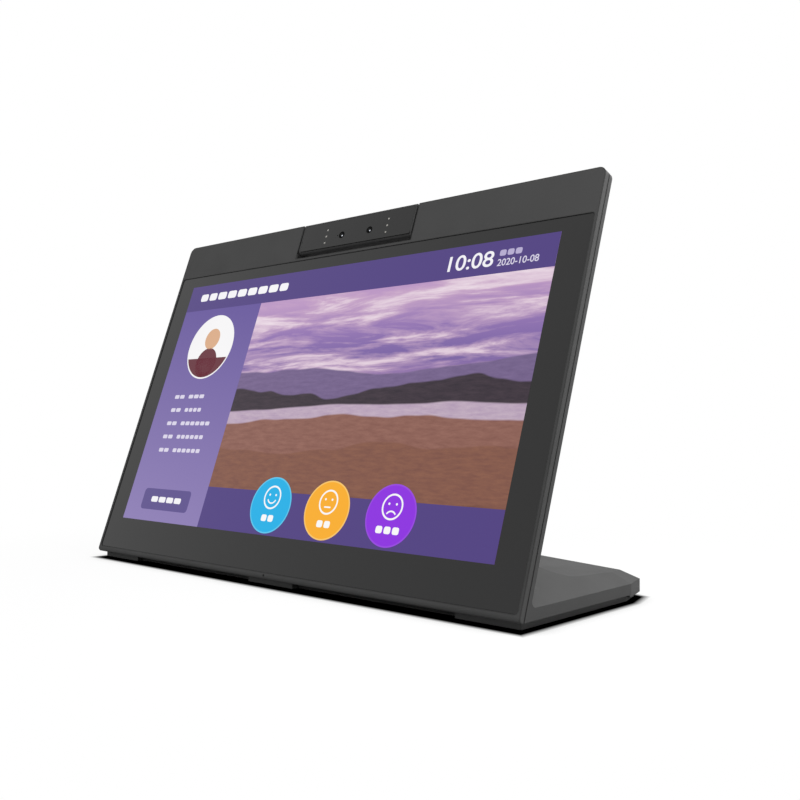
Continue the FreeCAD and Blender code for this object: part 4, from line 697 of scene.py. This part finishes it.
class TERMINAL_OT_optics(bpy.types.Operator):
    """Add the lens rims, front lenses and lamp domes of the camera bar"""
    bl_idname = "terminal.optics"
    bl_label = "Add the Camera Bar's Optics"

    def execute(self, context):
        # Zero is the bar's optical middle, on the front of its face
        on_face = glass_matrix(*OPTICS_MIDDLE)
        low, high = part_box("camera_face")
        if not low.z < on_face.translation.z < high.z:
            raise RuntimeError("the optics miss the camera bar's face")
        for name, side in (("infrared", -1), ("colour", 1)):
            x = side * LENS_OUT
            # Rim printed in dull black around the lens
            gather(f"{name}_lens_rim", [rim(x, 0, 0, 2.6, 1.62, 0.12)], on_face,
                   surface(f"{name}_rim_black", ("#020202", "#040404"), (0.7, 0.8), 0.3, 0.002, ior=1.15,
                           edge_mm=0.1), "camera_bar")
            # Convex front lens with an anti-reflection coat, so it stays near black
            gather(f"{name}_front_lens", [dome(x, 0, -0.22, 1.55, 0.5)], on_face,
                   surface(f"{name}_lens_glass", ("#010102", "#030305"), (0.03, 0.06), 1.0, 0.0, ior=1.15,
                           edge_mm=0.05), "camera_bar")
            # Pale inner dot set off to the lens's lower right: a painted glint, standing in for a reflection
            # highlight there
            gather(f"{name}_painted_lens_glint", [dome(x + 0.75, -0.75, -0.02, 0.62, 0.34, 20)], on_face,
                   surface(f"{name}_painted_glint_metal", ("#C4C9D2", "#D6DAE0"), (0.12, 0.2), 1.0, 0.0, metallic=1.0,
                           edge_mm=0.05), "camera_bar")
        # Clear domes over the lamps, whose middle lies a little above the lenses'
        domes = [dome(side * LAMP_OUT, 0.95 + step * LAMP_PITCH, -0.22, 0.8, 0.42, 24)
                 for side in (-1, 1) for step in (-1, 0, 1)]
        gather("lamp_domes", domes, on_face,
               surface("clear_epoxy_dome", ("#9C9A93", "#BDBAB2"), (0.08, 0.14), 0.5, 0.0, edge_mm=0.05, coat=0.8),
               "camera_bar")
        return {"FINISHED"}


class TERMINAL_OT_stage(bpy.types.Operator):
    """Set the floor, the lamps and the camera"""
    bl_idname = "terminal.stage"
    bl_label = "Set the Stage"

    def execute(self, context):
        settings = context.scene.terminal_stage
        deselect()
        bpy.ops.mesh.primitive_plane_add(size=12.0, location=(0, 0, 0))
        floor = context.object
        floor.name = "stage_floor"
        floor.data.materials.append(floor_sheet())

        world = bpy.data.worlds.new("studio")
        context.scene.world = world
        world.use_nodes = True
        world.node_tree.nodes.clear()
        tree = world.node_tree
        white = add_node(tree, "ShaderNodeBackground", {"Color": linear("#FFFFFF"), "Strength": 1.0})
        grey = add_node(tree, "ShaderNodeBackground", {"Color": linear("#FFFFFF"), "Strength": 0.4})
        mix = mix_shaders(tree, seen_directly(tree), grey, white)
        add_node(tree, "ShaderNodeOutputWorld", {"Surface": mix.outputs[0]})

        # Name, place, size and power of each lamp
        lamps = (
            ("top_softbox", (0.5, 0.4, 1.7), 1.6, 13.5),
            ("side_softbox", (0.42, 0.05, 0.48), 0.2, 2.0),
            ("front_softbox", (0.2, -1.8, 1.0), 1.4, 6.2),
        )
        for name, place, size, power in lamps:
            bpy.ops.object.light_add(type="AREA", location=place)
            lamp = context.object
            lamp.name = name
            lamp.data.size = size
            lamp.data.energy = power
            lamp.rotation_euler = (Vector((0, 0, 0.1)) - Vector(place)).to_track_quat("-Z", "Y").to_euler()

        bpy.ops.object.camera_add(location=settings.camera_place)
        camera = context.object
        camera.name = "photo_camera"
        camera.rotation_euler = Vector(settings.camera_aim).to_track_quat("-Z", "Y").to_euler()
        camera.data.lens = settings.camera_lens
        camera.data.sensor_width = 36.0
        camera.data.shift_x = 0.065
        camera.data.clip_start = 0.01
        context.scene.camera = camera
        context.scene.view_settings.view_transform = "Standard"
        return {"FINISHED"}


class TERMINAL_PT_sidebar(bpy.types.Panel):
    """Lists the steps that dress the terminal"""
    bl_idname = "TERMINAL_PT_sidebar"
    bl_label = "Touch Terminal"
    bl_space_type = "VIEW_3D"
    bl_region_type = "UI"
    bl_category = "Terminal"

    def draw(self, context):
        for operator in OPERATORS:
            self.layout.operator(operator.bl_idname)
        for group in ("terminal_finish", "terminal_screen", "terminal_stage"):
            settings = getattr(context.scene, group)
            for name in settings.__annotations__:
                self.layout.prop(settings, name)


GROUPS = (
    ("terminal_finish", TerminalFinishSettings),
    ("terminal_screen", TerminalScreenSettings),
    ("terminal_stage", TerminalStageSettings),
)
OPERATORS = (
    TERMINAL_OT_finishes,
    TERMINAL_OT_screen,
    TERMINAL_OT_badge,
    TERMINAL_OT_feedback,
    TERMINAL_OT_optics,
    TERMINAL_OT_stage,
)


def register():
    for name, group in GROUPS:
        bpy.utils.register_class(group)
        setattr(bpy.types.Scene, name, PointerProperty(type=group))
    for kind in (*OPERATORS, TERMINAL_PT_sidebar):
        bpy.utils.register_class(kind)


def unregister():
    for kind in (TERMINAL_PT_sidebar, *reversed(OPERATORS)):
        bpy.utils.unregister_class(kind)
    for name, group in reversed(GROUPS):
        delattr(bpy.types.Scene, name)
        bpy.utils.unregister_class(group)


def main():
    register()
    bpy.ops.terminal.finishes()
    bpy.ops.terminal.screen()
    bpy.ops.terminal.badge()
    bpy.ops.terminal.feedback()
    bpy.ops.terminal.optics()
    bpy.ops.terminal.stage()


if __name__ == "__main__":
    main()
